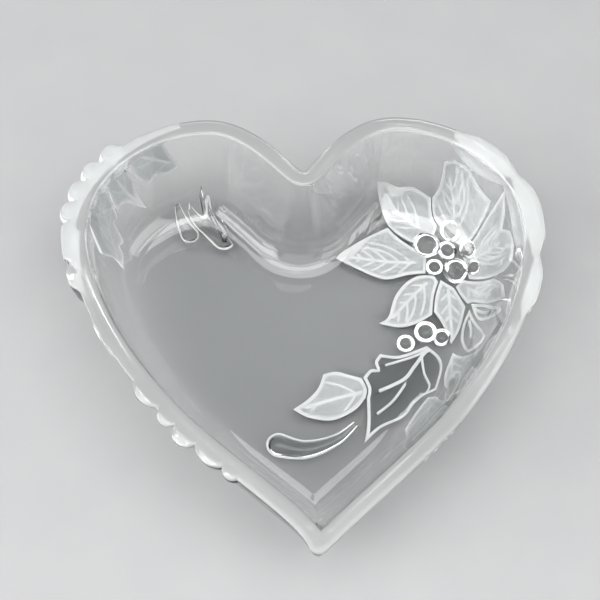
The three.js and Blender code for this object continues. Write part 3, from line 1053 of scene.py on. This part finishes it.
PETALS = [
    Leaf(
        "petal_top",
        [
            [(53, 28.6), (50.4, 34), (48.4, 38), (47.9, 43)],
            [(47.9, 43), (50, 44.6), (50.5, 47.6)],
            [(50.5, 47.6), (53.4, 46.6)],
            [(53.4, 46.6), (58.2, 43), (62.5, 37.3), (66.1, 32.4)],
            [(66.1, 32.4), (64.9, 30.4), (61.2, 26.8), (57, 26)],
        ],
        [(55, 31), (55.4, 38), (53, 44.6)],
    ),
    Leaf(
        "petal_right",
        [
            [(57, 25.4), (61.6, 26.2), (66.2, 29.8), (69.6, 31.2)],
            [(69.6, 31.2), (69.9, 26), (69.6, 22.6)],
            [(69.6, 22.6), (71.4, 19), (71.9, 13), (70.9, 7.4)],
            [(70.9, 7.4), (69.2, 6.6), (67.7, 7.6)],
            [(67.7, 7.6), (63, 10.4), (58.4, 12.6)],
        ],
        [(61, 19.6), (65.4, 19.4), (69.8, 18.4)],
        side_veins=5,
    ),
    Leaf(
        "petal_lower_right",
        [
            [(56.6, 12.2), (62, 9.9), (67.2, 6.8)],
            [(67.2, 6.8), (68.4, 2), (67.6, -6)],
            [(67.6, -6), (64, -1.6), (59.8, 2.2), (57.3, 2.4)],
            [(57.3, 2.4), (54.6, 6.6), (52.8, 10.2)],
        ],
        [(57.4, 9.2), (62, 5), (65.8, 0.6)],
    ),
    Leaf(
        "petal_bottom",
        [
            [(47.9, 12.6), (45.6, 6.8), (44.3, 0.6)],
            [(44.3, 0.6), (46.6, -4), (49.8, -12.6)],
            [(49.8, -12.6), (53.6, -7), (56.4, 1.4)],
            [(56.4, 1.4), (54, 6.2), (52, 9.8)],
        ],
        [(50.2, 9), (50, 0), (50, -9)],
    ),
    Leaf(
        "petal_lower_left",
        [
            [(45.8, 14.4), (40.2, 14.4), (35.4, 11.6), (31.4, 6.4), (28.6, -1), (25.3, -3.4)],
            [(25.3, -3.4), (31.8, -5), (38, -3.8), (43.6, -0.6)],
            [(43.6, -0.6), (45, 6.6), (47.1, 12.4)],
        ],
        [(43, 11.8), (37, 6), (30, -1.4)],
    ),
    Leaf(
        "petal_left",
        [
            [(44, 23), (39.6, 25.6), (34.6, 30), (31.4, 34.2)],
            [(31.4, 34.2), (22, 29.8), (14.2, 25.2), (11.8, 22.7)],
            [(11.8, 22.7), (18, 18.8), (25, 14.8), (30, 13.5), (37, 15), (43.4, 15.4)],
        ],
        [(40, 19.8), (30, 20.4), (17, 22.6)],
        side_veins=5,
    ),
    Leaf(
        "petal_upper_left",
        [
            [(46, 27), (40.2, 27.6), (34.6, 31.4), (31.7, 35)],
            [(31.7, 35), (28.8, 43), (26.8, 48.2)],
            [(26.8, 48.2), (30.6, 48.6), (35.4, 47.4)],
            [(35.4, 47.4), (41, 46.6), (47.4, 43)],
            [(47.4, 43), (48, 38), (49.6, 34)],
        ],
        [(43.4, 33), (37, 39.4), (30, 46)],
    ),
]

LEAVES = [
    Leaf(
        "holly_leaf_tip",
        [
            [(-5.3, -33.8), (-0.6, -30.6), (3.2, -26.6), (5.3, -21.6)],
            [(5.3, -21.6), (9.6, -20.8), (14, -22.2), (17.8, -23.4)],
            [(17.8, -23.4), (19.2, -27.4), (18.6, -30.4)],
            [(18.6, -30.4), (14.6, -34.8), (7.2, -38), (-0.4, -36.8), (-5.3, -33.8)],
        ],
        [(17, -28.6), (9, -30.4), (-1, -33.2)],
        side_veins=2,
    ),
    Leaf(
        "holly_leaf_blade",
        [
            [(18.4, -23.2), (20.9, -20.4), (23.3, -20.5)],
            [(23.3, -20.5), (22.7, -17.6), (24.6, -14.8)],
            [(24.6, -14.8), (31, -15.6), (40.6, -12.4)],
            [(40.6, -12.4), (45, -17), (46, -22.4), (43.8, -30.7)],
            [(43.8, -30.7), (38.6, -31.6), (35, -34)],
            [(35, -34), (31.4, -38.4), (23, -41.4), (17, -46.5)],
            [(17, -46.5), (18.4, -40), (19, -30.6)],
            [(19, -30.6), (19.7, -27.2), (18.4, -23.2)],
        ],
        [(43.6, -13.2), (40.1, -14.5), (35.8, -19.6), (31.7, -24.3), (23.3, -28.2)],
        Kind.CLEAR_LEAF,
        1.2,
        side_veins=0,
        more_veins=[
            [(32.1, -26), (27.3, -32.1), (22, -36.2)],
            [(38.5, -16.6), (38.9, -22.3), (41, -27.6), (40.1, -30)],
            [(40.6, -13.9), (34.9, -16.4), (26.1, -18.9)],
            [(43.2, -14.6), (44.9, -18.4)],
        ],
        edge=1.0,
    ),
    Leaf(
        "bud_leaf_short",
        [
            [(58.8, 1.8), (63.4, -1.6), (66.2, -8.6)],
            [(66.2, -8.6), (65.4, -11.2), (61, -7.4), (58.8, 1.8)],
        ],
        [(60.2, -1.2), (62.2, -4.4), (63.6, -6.6)],
        Kind.CLEAR_LEAF,
        1.2,
        side_veins=0,
    ),
    Leaf(
        "bud_leaf_long",
        [
            [(58, -0.4), (54.9, -6), (53.9, -12.5), (55.6, -19.8)],
            [(55.6, -19.8), (59.6, -19.4), (61.2, -13.4), (58, -0.4)],
        ],
        [(57.6, -5.4), (58, -9.8), (57.5, -13.6)],
        Kind.CLEAR_LEAF,
        1.2,
        side_veins=0,
    ),
    Leaf(
        "wall_leaf_upper",
        [
            [(46.7, -30.4), (47.2, -24.6), (50.4, -16.6)],
            [(50.4, -16.6), (54.6, -21), (60.6, -24.4), (68, -24.6)],
            [(68, -24.6), (55.4, -52)],
            [(55.4, -52), (50, -44), (46.7, -38)],
            [(46.7, -38), (47.4, -34), (46.7, -30.4)],
        ],
        [(49.8, -19.4), (50.6, -30), (56.4, -38)],
        height=1.1,
        side_veins=4,
    ),
    Leaf(
        "wall_leaf_lower",
        [
            [(40.4, -33), (35.6, -38.4), (31.9, -44.5)],
            [(31.9, -44.5), (32.4, -50), (31, -56.4), (33.6, -70)],
            [(33.6, -70), (54, -53.6)],
            [(54, -53.6), (48, -45.4), (44.9, -38.4)],
            [(44.9, -38.4), (43.6, -34.4), (40.4, -33)],
        ],
        [(41.6, -36.4), (39.6, -46), (41, -54)],
        height=1.1,
        side_veins=4,
    ),
    Leaf(
        "side_leaf_upper",
        [
            [(-41, 50.6), (-45.4, 48.4), (-49.6, 47.2)],
            [(-49.6, 47.2), (-52.4, 44.8), (-56, 43.8)],
            [(-56, 43.8), (-60, 45.4), (-66, 50)],
            [(-66, 50), (-52, 58)],
            [(-52, 58), (-49.6, 53.2), (-45.6, 51.4), (-41, 50.6)],
        ],
        [(-44, 50.2), (-50.4, 48.6), (-56.4, 46.4)],
        height=1.8,
        side_veins=3,
    ),
    Leaf(
        "side_leaf_middle",
        [
            [(-53.1, 40.4), (-56.6, 41.6), (-57.4, 43.1)],
            [(-57.4, 43.1), (-61.6, 43.8), (-67.4, 48)],
            [(-67.4, 48), (-74, 39)],
            [(-74, 39), (-67, 36.4), (-63.6, 34.4)],
            [(-63.6, 34.4), (-60.4, 38), (-53.1, 40.4)],
        ],
        [(-56, 40.4), (-60.4, 39.8), (-65.6, 39.4)],
        height=1.8,
        side_veins=3,
    ),
    Leaf(
        "side_leaf_lower",
        [
            [(-62.3, 18.6), (-62.4, 23.8), (-63.7, 26)],
            [(-63.7, 26), (-62.2, 28.4), (-65, 31)],
            [(-65, 31), (-63.9, 33.5), (-67.4, 35.4), (-74.6, 37.4)],
            [(-74.6, 37.4), (-79, 24)],
            [(-79, 24), (-73.2, 21), (-69.8, 17)],
            [(-69.8, 17), (-65.6, 20.4), (-62.3, 18.6)],
        ],
        [(-64.6, 21.4), (-66.6, 26.4), (-69, 32)],
        height=1.8,
        side_veins=4,
    ),
]

STRIPS = [
    RimStrip("side_frost", height=0.02, start=124, end=183, depth=1.6),
    RimStrip("right_frost", height=0.02, start=-10, end=-54, depth=2.4),
    RimStrip("rim_leaf_upper", height=1.8, start=46.5, end=27.4, depth=2.2, ribs=(0.5,)),
    RimStrip("rim_leaf_middle", height=1.8, start=29.0, end=4.4, depth=2.6, ribs=(0.5,)),
    RimStrip("rim_leaf_lower", height=1.8, start=6.0, end=-13.5, depth=2.4, ribs=(0.5,)),
    RimStrip(
        "side_block_upper",
        height=2.6,
        start=162.6,
        end=174.6,
        depth=2.6,
        square=True,
        edge=1.2,
        taper=2.2,
    ),
    RimStrip(
        "side_block_lower",
        kind=Kind.CLEAR_LEAF,
        height=2.6,
        start=172.6,
        end=183.0,
        depth=2.2,
        square=True,
        edge=1.2,
        taper=4.0,
    ),
    RimStrip(
        "ribbed_edge",
        kind=Kind.CLEAR_LEAF,
        height=0.3,
        start=188,
        end=207,
        depth=1.6,
        ribs=(0.3, 0.6, 0.85),
    ),
]

SIDE_BERRY_BEARINGS = (142.6, 148.9, 154.6, 160.0)
SIDE_BERRIES = [
    WallBead(f"side_berry_{i}", (0, 0), 4.5, True, bearing=bearing, level=38.4)
    for i, bearing in enumerate(SIDE_BERRY_BEARINGS, 1)
]
EDGE_BEADS = [
    WallBead("edge_bead_1", (0, 0), 8.0, sink=5.8, bearing=216.5, level=36),
    WallBead("edge_bead_2", (0, 0), 4.1, sink=1.5, bearing=225.2, level=37),
    WallBead("edge_bead_3", (0, 0), 4.6, sink=1.4, bearing=232.0, level=36.5),
    WallBead("edge_bead_4", (0, 0), 7.2, sink=5.0, bearing=240.3, level=36.5),
    WallBead("edge_bead_5", (0, 0), 3.4, sink=1.6, bearing=247.0, level=38),
]

BERRIES = [
    Bead("flower_berry_1", (54, 16.5), 4.8),
    Bead("flower_berry_2", (44.6, 27.2), 4.9),
    Bead("flower_berry_3", (54, 32.1), 4.2),
    Bead("flower_berry_4", (59.9, 23.9), 3.8),
    Bead("flower_berry_5", (51.7, 24.6), 3.7),
    Bead("flower_berry_6", (61.3, 16.4), 3.3),
    Bead("flower_berry_7", (46.3, 17.9), 3.1),
    Bead("holly_berry_1", (40.7, -7), 4.0),
    Bead("holly_berry_2", (46.2, -9.4), 3.4),
    Bead("holly_berry_3", (33.6, -11.1), 3.2),
]

DROPS = [
    # Each drop's foot ring gets the painted highlight.
    Drop("drop_short", [(-42.2, 43.6), (-40.2, 38.6), (-36, 30)], 3.3, rise=0.7, painted_foot_highlight=True),
    Drop("drop_long", [(-37.6, 43.0), (-33.2, 37.4), (-22.6, 28)], 4.2, rise=0.5, painted_foot_highlight=True),
    Drop(
        "comma_scroll",
        [(14.6, -39.6), (7.6, -45), (-3, -47.8), (-14.6, -44.6)],
        4.15,
        painted_foot_highlight=True,
    ),
]


WELD = 1e-6
RIM_FADE = 16.0
LEAF_STOP = 4.0
# Material numbers. The third one paints a highlight on ridges, veins and drop feet.
POLISHED, FROSTED, PAINTED_HIGHLIGHT_FINISH, MILKY_RIM = range(4)
FIRST_RING = 1.2
LAST_RING = 0.6
RING_STEP = 1.6
FLOOR_RINGS = (0.98, 0.9, 0.78, 0.62, 0.44, 0.24)
KEEP_AWAY = 0.9
MERGE = 1e-4
LIP_TURNS = (30, 60, 90)
INNER_FLOOR_RINGS = (0.75, 0.5, 0.25)
SMOOTH_ANGLE = 38


def finish_of(motif: Motif, mark: np.ndarray) -> np.ndarray:
    """The material number for marks on a motif.

    Args:
        motif: The motif.
        mark: 1 in its field, 2 on its ridges, which get the painted highlight.

    Returns:
        POLISHED, FROSTED or the painted highlight's number for each mark.
    """
    return np.where(mark == 2, PAINTED_HIGHLIGHT_FINISH, FROSTED if motif.satin else POLISHED)


def directed_edges(faces: np.ndarray) -> dict[tuple[int, int], int]:
    """Every edge of some triangles, in its triangle's own direction, with the triangle's number."""
    edges = {}
    for row, (a, b, c) in enumerate(faces.tolist()):
        edges.update({(a, b): row, (b, c): row, (c, a): row})
    return edges


def largest_patch(faces: np.ndarray) -> np.ndarray:
    """The largest group of triangles joined by edges.

    Args:
        faces: The triangles.

    Returns:
        The triangles of that group.
    """
    edges = directed_edges(faces)
    beside = [[] for _ in faces]
    for (a, b), row in edges.items():
        if (b, a) in edges:
            beside[row].append(edges[b, a])
    best = []
    seen = set()
    for start in range(len(faces)):
        if start in seen:
            continue
        seen.add(start)
        group = [start]
        for row in group:
            for other in beside[row]:
                if other not in seen:
                    seen.add(other)
                    group.append(other)
        best = group if len(group) > len(best) else best
    return faces[sorted(best)]


class PressedDish:
    """The whole pressing: the bowl with its rim work, and each raised motif on the outer face.

    Attributes:
        air: Gap between a motif and the bowl.
        thin: The least height of a motif.
    """

    air = 0.06
    thin = 0.15

    def __init__(self) -> None:
        """Lays out the shape and every motif."""
        self.materials = [finish.material() for finish in (CLEAR, SATIN, PAINTED_HIGHLIGHT, RIM)]
        low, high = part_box("bowl")
        self.outline = HeartOutline()
        self.section = WallSection()
        self.field = HeartField(self.outline, self.section)
        top = self.outline.lobe_top[1]
        self.shift = np.array([(low.x + high.x) / 2 / MM, high.y / MM - top])
        self.rim_work = STRIPS + SIDE_BERRIES + EDGE_BEADS
        self.parts = BERRIES + DROPS + PETALS + LEAVES
        for motif in self.rim_work + self.parts:
            motif.lay_out(self.field)

    def _rim_ring(self) -> np.ndarray:
        """The outline in the spread plane, counter-clockwise."""
        angle = self.field.angle[::2]
        radius = self.field.floor_reach(angle) + self.field.total
        return self.field.centre + radius[:, None] * directions(angle)

    def _background(self) -> np.ndarray:
        """Loose points over the wall and floor."""
        rows = []
        angle = self.field.angle[::4]
        base = self.field.floor_reach(angle)
        heading = directions(angle)
        for step in np.arange(FIRST_RING, self.field.total - LAST_RING, RING_STEP):
            rows.append(self.field.centre + (base + step)[:, None] * heading)
        for share in FLOOR_RINGS:
            rows.append(self.field.centre + (base * share)[::3, None] * heading[::3])
        return np.concatenate(rows)

    def _triangulate(self) -> tuple[np.ndarray, np.ndarray]:
        """Triangulates the spread plane along every feature line.

        Returns:
            The points and the triangles.
        """
        points = []
        edges = []
        count = 0

        def add(line: np.ndarray, closed: bool) -> None:
            nonlocal count
            points.append(line)
            last = len(line) if closed else len(line) - 1
            edges.extend((count + i, count + (i + 1) % len(line)) for i in range(last))
            count += len(line)

        ring = self._rim_ring()
        add(ring, True)
        away = ring - self.field.centre
        add(ring - away / np.linalg.norm(away, axis=1, keepdims=True) * LEAF_STOP, True)
        for motif in self.rim_work + self.parts:
            for line, closed in motif.lines():
                add(line, closed)
        features = np.concatenate(points)
        loose = self._background()
        grid = {tuple(k) for k in np.floor(features / KEEP_AWAY).astype(int)}
        cells = np.floor(loose / KEEP_AWAY).astype(int)
        near = [any((x + i, y + j) in grid for i in (-1, 0, 1) for j in (-1, 0, 1)) for x, y in cells]
        points.append(loose[~np.array(near)])
        everything = [Vector(p) for p in np.concatenate(points)]
        found, _, faces, *_ = delaunay_2d_cdt(everything, edges, [], 0, MERGE)
        found = np.array([tuple(p) for p in found])
        faces = np.array([f for f in faces if len(f) == 3])
        middle = found[faces].mean(1)
        faces = faces[inside(middle, ring)]
        used = np.unique(faces)
        renumber = np.full(len(found), -1)
        renumber[used] = np.arange(len(used))
        return found[used], renumber[faces]

    def _rim_relief(self, points: np.ndarray) -> np.ndarray:
        """Height of the rim's relief at spread points."""
        height = np.zeros(len(points))
        for motif in self.rim_work:
            height = np.maximum(height, motif.heights(points)[0])
        return height

    def _rim_finish(self, middle: np.ndarray) -> np.ndarray:
        """The finish of each face of the bowl's outer side."""
        finish = np.zeros(len(middle), int)
        for motif in self.rim_work:
            mark = motif.heights(middle)[1].astype(int)
            # Ribs on the rim work get the painted highlight.
            finish = np.where(mark > 0, finish_of(motif, mark), finish)
        return finish

    def build(self) -> list[tuple[bpy.types.Object, list[str], str]]:
        """Makes the bowl and each raised motif.

        Returns:
            For each piece its object, the CAD nodes it stands for and its material slot.
        """
        spread, faces = self._triangulate()
        base = self.field.surface(spread)
        normal = self._normals(base, faces)
        skin = base + normal * self._rim_relief(spread)[:, None]
        middle = spread[faces].mean(1)
        owner = np.full(len(faces), -1)
        clear_of_rim = self.field.below_rim(middle, LEAF_STOP) >= 1
        for number in reversed(range(len(self.parts))):
            owner[(self.parts[number].heights(middle)[1] > 0) & clear_of_rim] = number
        loop = self._open_loop(faces)
        shell = self._close(skin, faces, self._rim_finish(middle), loop, base)
        names = ["bowl"] + [motif.name for motif in self.rim_work if motif.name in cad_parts]
        pieces = [(self._object("dish_bowl", *shell), names, "clear_glass")]
        for number, motif in enumerate(self.parts):
            own = faces[owner == number]
            if len(own):
                own = largest_patch(own)
                part = self._raised(motif, own, spread, skin, normal)
                slot = "satin_glass" if motif.satin else "clear_glass"
                pieces.append((self._object("glass_" + motif.name, *part), [motif.name], slot))
        return pieces

    def _normals(self, base: np.ndarray, faces: np.ndarray) -> np.ndarray:
        """Outward unit normals of the outer face.

        Args:
            base: The face's points.
            faces: Its triangles.

        Returns:
            One normal for each point.
        """
        a, b, c = (base[faces[:, k]] for k in range(3))
        face_normal = np.cross(b - a, c - a)
        normal = np.zeros_like(base)
        for k in range(3):
            np.add.at(normal, faces[:, k], face_normal)
        normal /= np.maximum(np.linalg.norm(normal, axis=1, keepdims=True), TINIER)
        return -normal if normal[:, 2].mean() > 0 else normal

    def _raised(
        self,
        motif: Motif,
        own: np.ndarray,
        spread: np.ndarray,
        skin: np.ndarray,
        normal: np.ndarray,
    ) -> tuple:
        """The closed body of one motif, a hair off the bowl.

        Args:
            motif: The motif.
            own: Its triangles.
            spread: All spread points.
            skin: The bowl's outer face.
            normal: Its normals.

        Returns:
            Points, faces and the finish of each face.
        """
        used = np.unique(own)
        number = np.full(len(spread), -1)
        number[used] = np.arange(len(used))
        height = motif.heights(spread[used])[0]
        if isinstance(motif, Leaf):
            height = height * self.field.below_rim(spread[used], RIM_FADE) ** 2
        height = np.maximum(height, self.thin)
        near = skin[used] + normal[used] * self.air
        far = skin[used] + normal[used] * (self.air + height)[:, None]
        far[:, 2] = np.maximum(far[:, 2], 0.0)
        mark = motif.heights(spread[own].mean(1))[1].astype(int)
        finish = finish_of(motif, mark)
        own = number[own]
        count = len(used)
        faces_all = own.tolist() + [(c + count, b + count, a + count) for a, b, c in own.tolist()]
        finish_all = finish.tolist() * 2
        edges = directed_edges(own)
        for (a, b), row in edges.items():
            if (b, a) not in edges:
                faces_all.append((b, a, a + count, b + count))
                finish_all.append(int(finish[row]))
        return np.concatenate([near, far]), faces_all, finish_all

    def _object(self, name: str, vertices: np.ndarray, faces: list, finish: list) -> bpy.types.Object:
        """Makes an object from points and faces.

        Args:
            name: The object's name.
            vertices: Points, millimetres.
            faces: Faces as point numbers.
            finish: The finish of each face.

        Returns:
            The object.
        """
        mesh = bpy.data.meshes.new(name)
        placed = (vertices + np.array([*self.shift, 0.0])) * MM
        mesh.from_pydata(placed.tolist(), [], faces)
        mesh.polygons.foreach_set("material_index", np.array(finish, np.int32))
        piece = bpy.data.objects.new(name, mesh)
        bpy.context.scene.collection.objects.link(piece)
        self._dress(piece)
        return piece

    def _open_loop(self, faces: np.ndarray) -> list[int]:
        """The skin's open edge, in order.

        Args:
            faces: The skin's triangles.

        Returns:
            Vertex numbers, each once.
        """
        edges = directed_edges(faces)
        following = {a: b for a, b in edges if (b, a) not in edges}
        start = next(iter(following))
        loop = [start]
        while following[loop[-1]] != start:
            loop.append(following[loop[-1]])
        return loop

    def _close(
        self,
        skin: np.ndarray,
        faces: np.ndarray,
        marks: np.ndarray,
        loop: list,
        base: np.ndarray,
    ) -> tuple:
        """Adds the rim and the inner face.

        Args:
            skin: The outer face's points.
            faces: Its triangles.
            marks: Its finishes.
            loop: Its open edge.
            base: The outer face without relief.

        Returns:
            All points, all faces and the finish of each.
        """
        edge = base[loop]
        offset = edge[:, :2] - self.field.centre
        angle = np.arctan2(offset[:, 1], offset[:, 0])
        out = skin[loop, :2] - edge[:, :2]
        s = self.section
        turn = np.radians(LIP_TURNS)
        inward = s.rim_edge * (1 - np.cos(turn))
        upward = s.rim_height - s.rim_edge * (1 - np.sin(turn))
        lip = [(i, z, 1.0) for i, z in zip(inward, upward)]
        band = [(s.rim_band * 0.35, s.rim_height, 0.4), (s.rim_band * 0.65, s.rim_height, 0.0)]
        back = [(s.rim_band - i, z, 0.0) for i, z, _ in reversed(lip)]
        inner = [(i, z, 0.0) for i, z in s.inner()[::8]]
        rings = []
        for inset, z, follow in lip + band + back + inner:
            plan = self.field.at(angle, np.full(len(angle), inset)) + out * follow
            rings.append(np.column_stack([plan, np.full(len(angle), z)]))
        last = rings[-1]
        for share in INNER_FLOOR_RINGS:
            plan = self.field.centre + (last[:, :2] - self.field.centre) * share
            rings.append(np.column_stack([plan, last[:, 2]]))
        middle = np.array([[*self.field.centre, s.floor_top]])
        count = len(loop)
        start = len(skin)
        faces_all = [(a, c, b) for a, b, c in faces.tolist()]
        finish = marks.tolist()
        previous = loop
        for r in range(len(rings)):
            current = list(range(start + r * count, start + (r + 1) * count))
            for i in range(count):
                j = (i + 1) % count
                faces_all.append((previous[i], previous[j], current[j], current[i]))
                finish.append(MILKY_RIM if r <= len(lip + band + back) else POLISHED)
            previous = current
        end = start + len(rings) * count
        for i in range(count):
            faces_all.append((previous[i], previous[(i + 1) % count], end))
            finish.append(POLISHED)
        return np.concatenate([skin, *rings, middle]), faces_all, finish

    def _dress(self, piece: bpy.types.Object) -> None:
        """Closes, smooths and paints a piece.

        Args:
            piece: The piece.
        """
        work = bmesh.new()
        work.from_mesh(piece.data)
        bmesh.ops.remove_doubles(work, verts=work.verts, dist=WELD)
        bmesh.ops.dissolve_degenerate(work, dist=WELD, edges=work.edges)
        bmesh.ops.recalc_face_normals(work, faces=work.faces)
        work.to_mesh(piece.data)
        odd = sum(1 for edge in work.edges if len(edge.link_faces) != 2)
        LOG.info("%s: %d faces, %d edges not shared by two faces", piece.name, len(work.faces), odd)
        work.free()
        for material in self.materials:
            piece.data.materials.append(material)
        bpy.ops.object.select_all(action="DESELECT")
        piece.select_set(True)
        bpy.context.view_layer.objects.active = piece
        bpy.ops.object.shade_smooth_by_angle(angle=math.radians(SMOOTH_ANGLE))


# ---------------------------------------------------------------- studio

PAPER_SCALE = 40.0
PAPER_ROUGHNESS = 0.75
NEAREST = 0.01
SOFTBOXES = {
    "overhead_softbox": ((0.0, -0.15, 1.1), (1.3, 0.8), 15.0),
    "left_softbox": ((-1.15, -0.35, 0.7), (1.2, 1.0), 19.0),
    "right_softbox": ((1.15, -0.35, 0.7), (1.2, 1.0), 9.0),
    "front_softbox": ((0.0, -1.1, 0.9), (1.6, 1.0), 5.0),
}


@dataclass
class Studio:
    """Pale floor, soft lights and the camera.

    Attributes:
        azimuth: The camera's bearing, degrees.
        elevation: Its height over the horizon, degrees.
        roll: Its tilt, degrees.
        distance: Its distance from the aim point, metres.
        lens: Its focal length, millimetres.
        aim: The aim point relative to the heart's own centre, millimetres.
        floor_size: Width of the floor, metres.
        floor_drop: How far the floor is below zero, metres.
        grey: The floor's darkest and palest grey.
        sky_colour: Colour of the light from all round.
        sky_strength: Its strength.
    """

    azimuth: float = -8.8
    elevation: float = 61.5
    roll: float = 6.3
    distance: float = 0.42
    lens: float = 81.84
    aim: tuple[float, float, float] = (-3.8, -13.0, 42.0)
    floor_size: float = 6.0
    floor_drop: float = 0.0003
    grey: tuple = ((0.345, 0.345, 0.35), (0.375, 0.375, 0.375))
    sky_colour: tuple = (0.9, 0.95, 1.0, 1.0)
    sky_strength: float = 0.14

    def floor(self) -> None:
        """Adds the floor."""
        bpy.ops.object.select_all(action="DESELECT")
        bpy.ops.mesh.primitive_plane_add(size=self.floor_size, location=(0, 0, -self.floor_drop))
        plane = bpy.context.object
        plane.name = "studio_floor"
        shader = Shader("studio_floor")
        tone = shader.mix_colour(shader.noise(PAPER_SCALE, 2.0), *self.grey)
        values = {"Base Color": tone, "Roughness": PAPER_ROUGHNESS}
        paper = shader.node("ShaderNodeBsdfPrincipled", inputs=values)
        plane.data.materials.append(shader.finish(paper))

    def lamp(self, name: str, place: tuple, size: tuple, power: float) -> None:
        """Adds a soft box that faces the dish.

        Args:
            name: The lamp's name.
            place: Where it stands, metres.
            size: Its width and height, metres.
            power: Its strength, watts.
        """
        data = bpy.data.lights.new(name, "AREA")
        data.shape = "RECTANGLE"
        data.size, data.size_y = size
        data.energy = power
        lamp = bpy.data.objects.new(name, data)
        bpy.context.scene.collection.objects.link(lamp)
        lamp.location = place
        lamp.rotation_euler = (-Vector(place)).to_track_quat("-Z", "Y").to_euler()

    def sky(self) -> None:
        """Lights the room softly from all round."""
        world = bpy.data.worlds.new("studio_air")
        world.use_nodes = True
        background = world.node_tree.nodes["Background"]
        background.inputs["Color"].default_value = self.sky_colour
        background.inputs["Strength"].default_value = self.sky_strength
        bpy.context.scene.world = world
        bpy.context.scene.view_settings.view_transform = "Standard"

    def camera(self, shift: np.ndarray) -> None:
        """Adds the camera.

        Args:
            shift: Where the heart's own centre is in the frame, millimetres.
        """
        a, e, r = map(math.radians, (self.azimuth, self.elevation, self.roll))
        back = Vector((math.sin(a) * math.cos(e), -math.cos(a) * math.cos(e), math.sin(e)))
        right = Vector((0, 0, 1)).cross(back).normalized()
        up = back.cross(right)
        turned = right * math.cos(r) + up * math.sin(r)
        upright = up * math.cos(r) - right * math.sin(r)
        aim = Vector((self.aim[0] + shift[0], self.aim[1] + shift[1], self.aim[2])) * MM
        data = bpy.data.cameras.new("camera")
        data.lens = self.lens
        data.clip_start = NEAREST
        camera = bpy.data.objects.new("camera", data)
        bpy.context.scene.collection.objects.link(camera)
        axes = Matrix((turned, upright, back)).transposed().to_4x4()
        camera.matrix_world = Matrix.Translation(aim + back * self.distance) @ axes
        bpy.context.scene.camera = camera


def main() -> None:
    """Builds the dish and the studio."""
    logging.basicConfig(level=logging.INFO, format="%(message)s")
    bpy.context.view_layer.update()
    dish = PressedDish()
    for piece, nodes, slot in dish.build():
        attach(piece, "root")
        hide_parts(*nodes)
        LOG.info("%s stands for %s", piece.name, ", ".join(nodes))
    studio = Studio()
    studio.floor()
    for name, (place, size, power) in SOFTBOXES.items():
        studio.lamp(name, place, size, power)
    studio.sky()
    studio.camera(dish.shift)


if __name__ == "__main__":
    main()
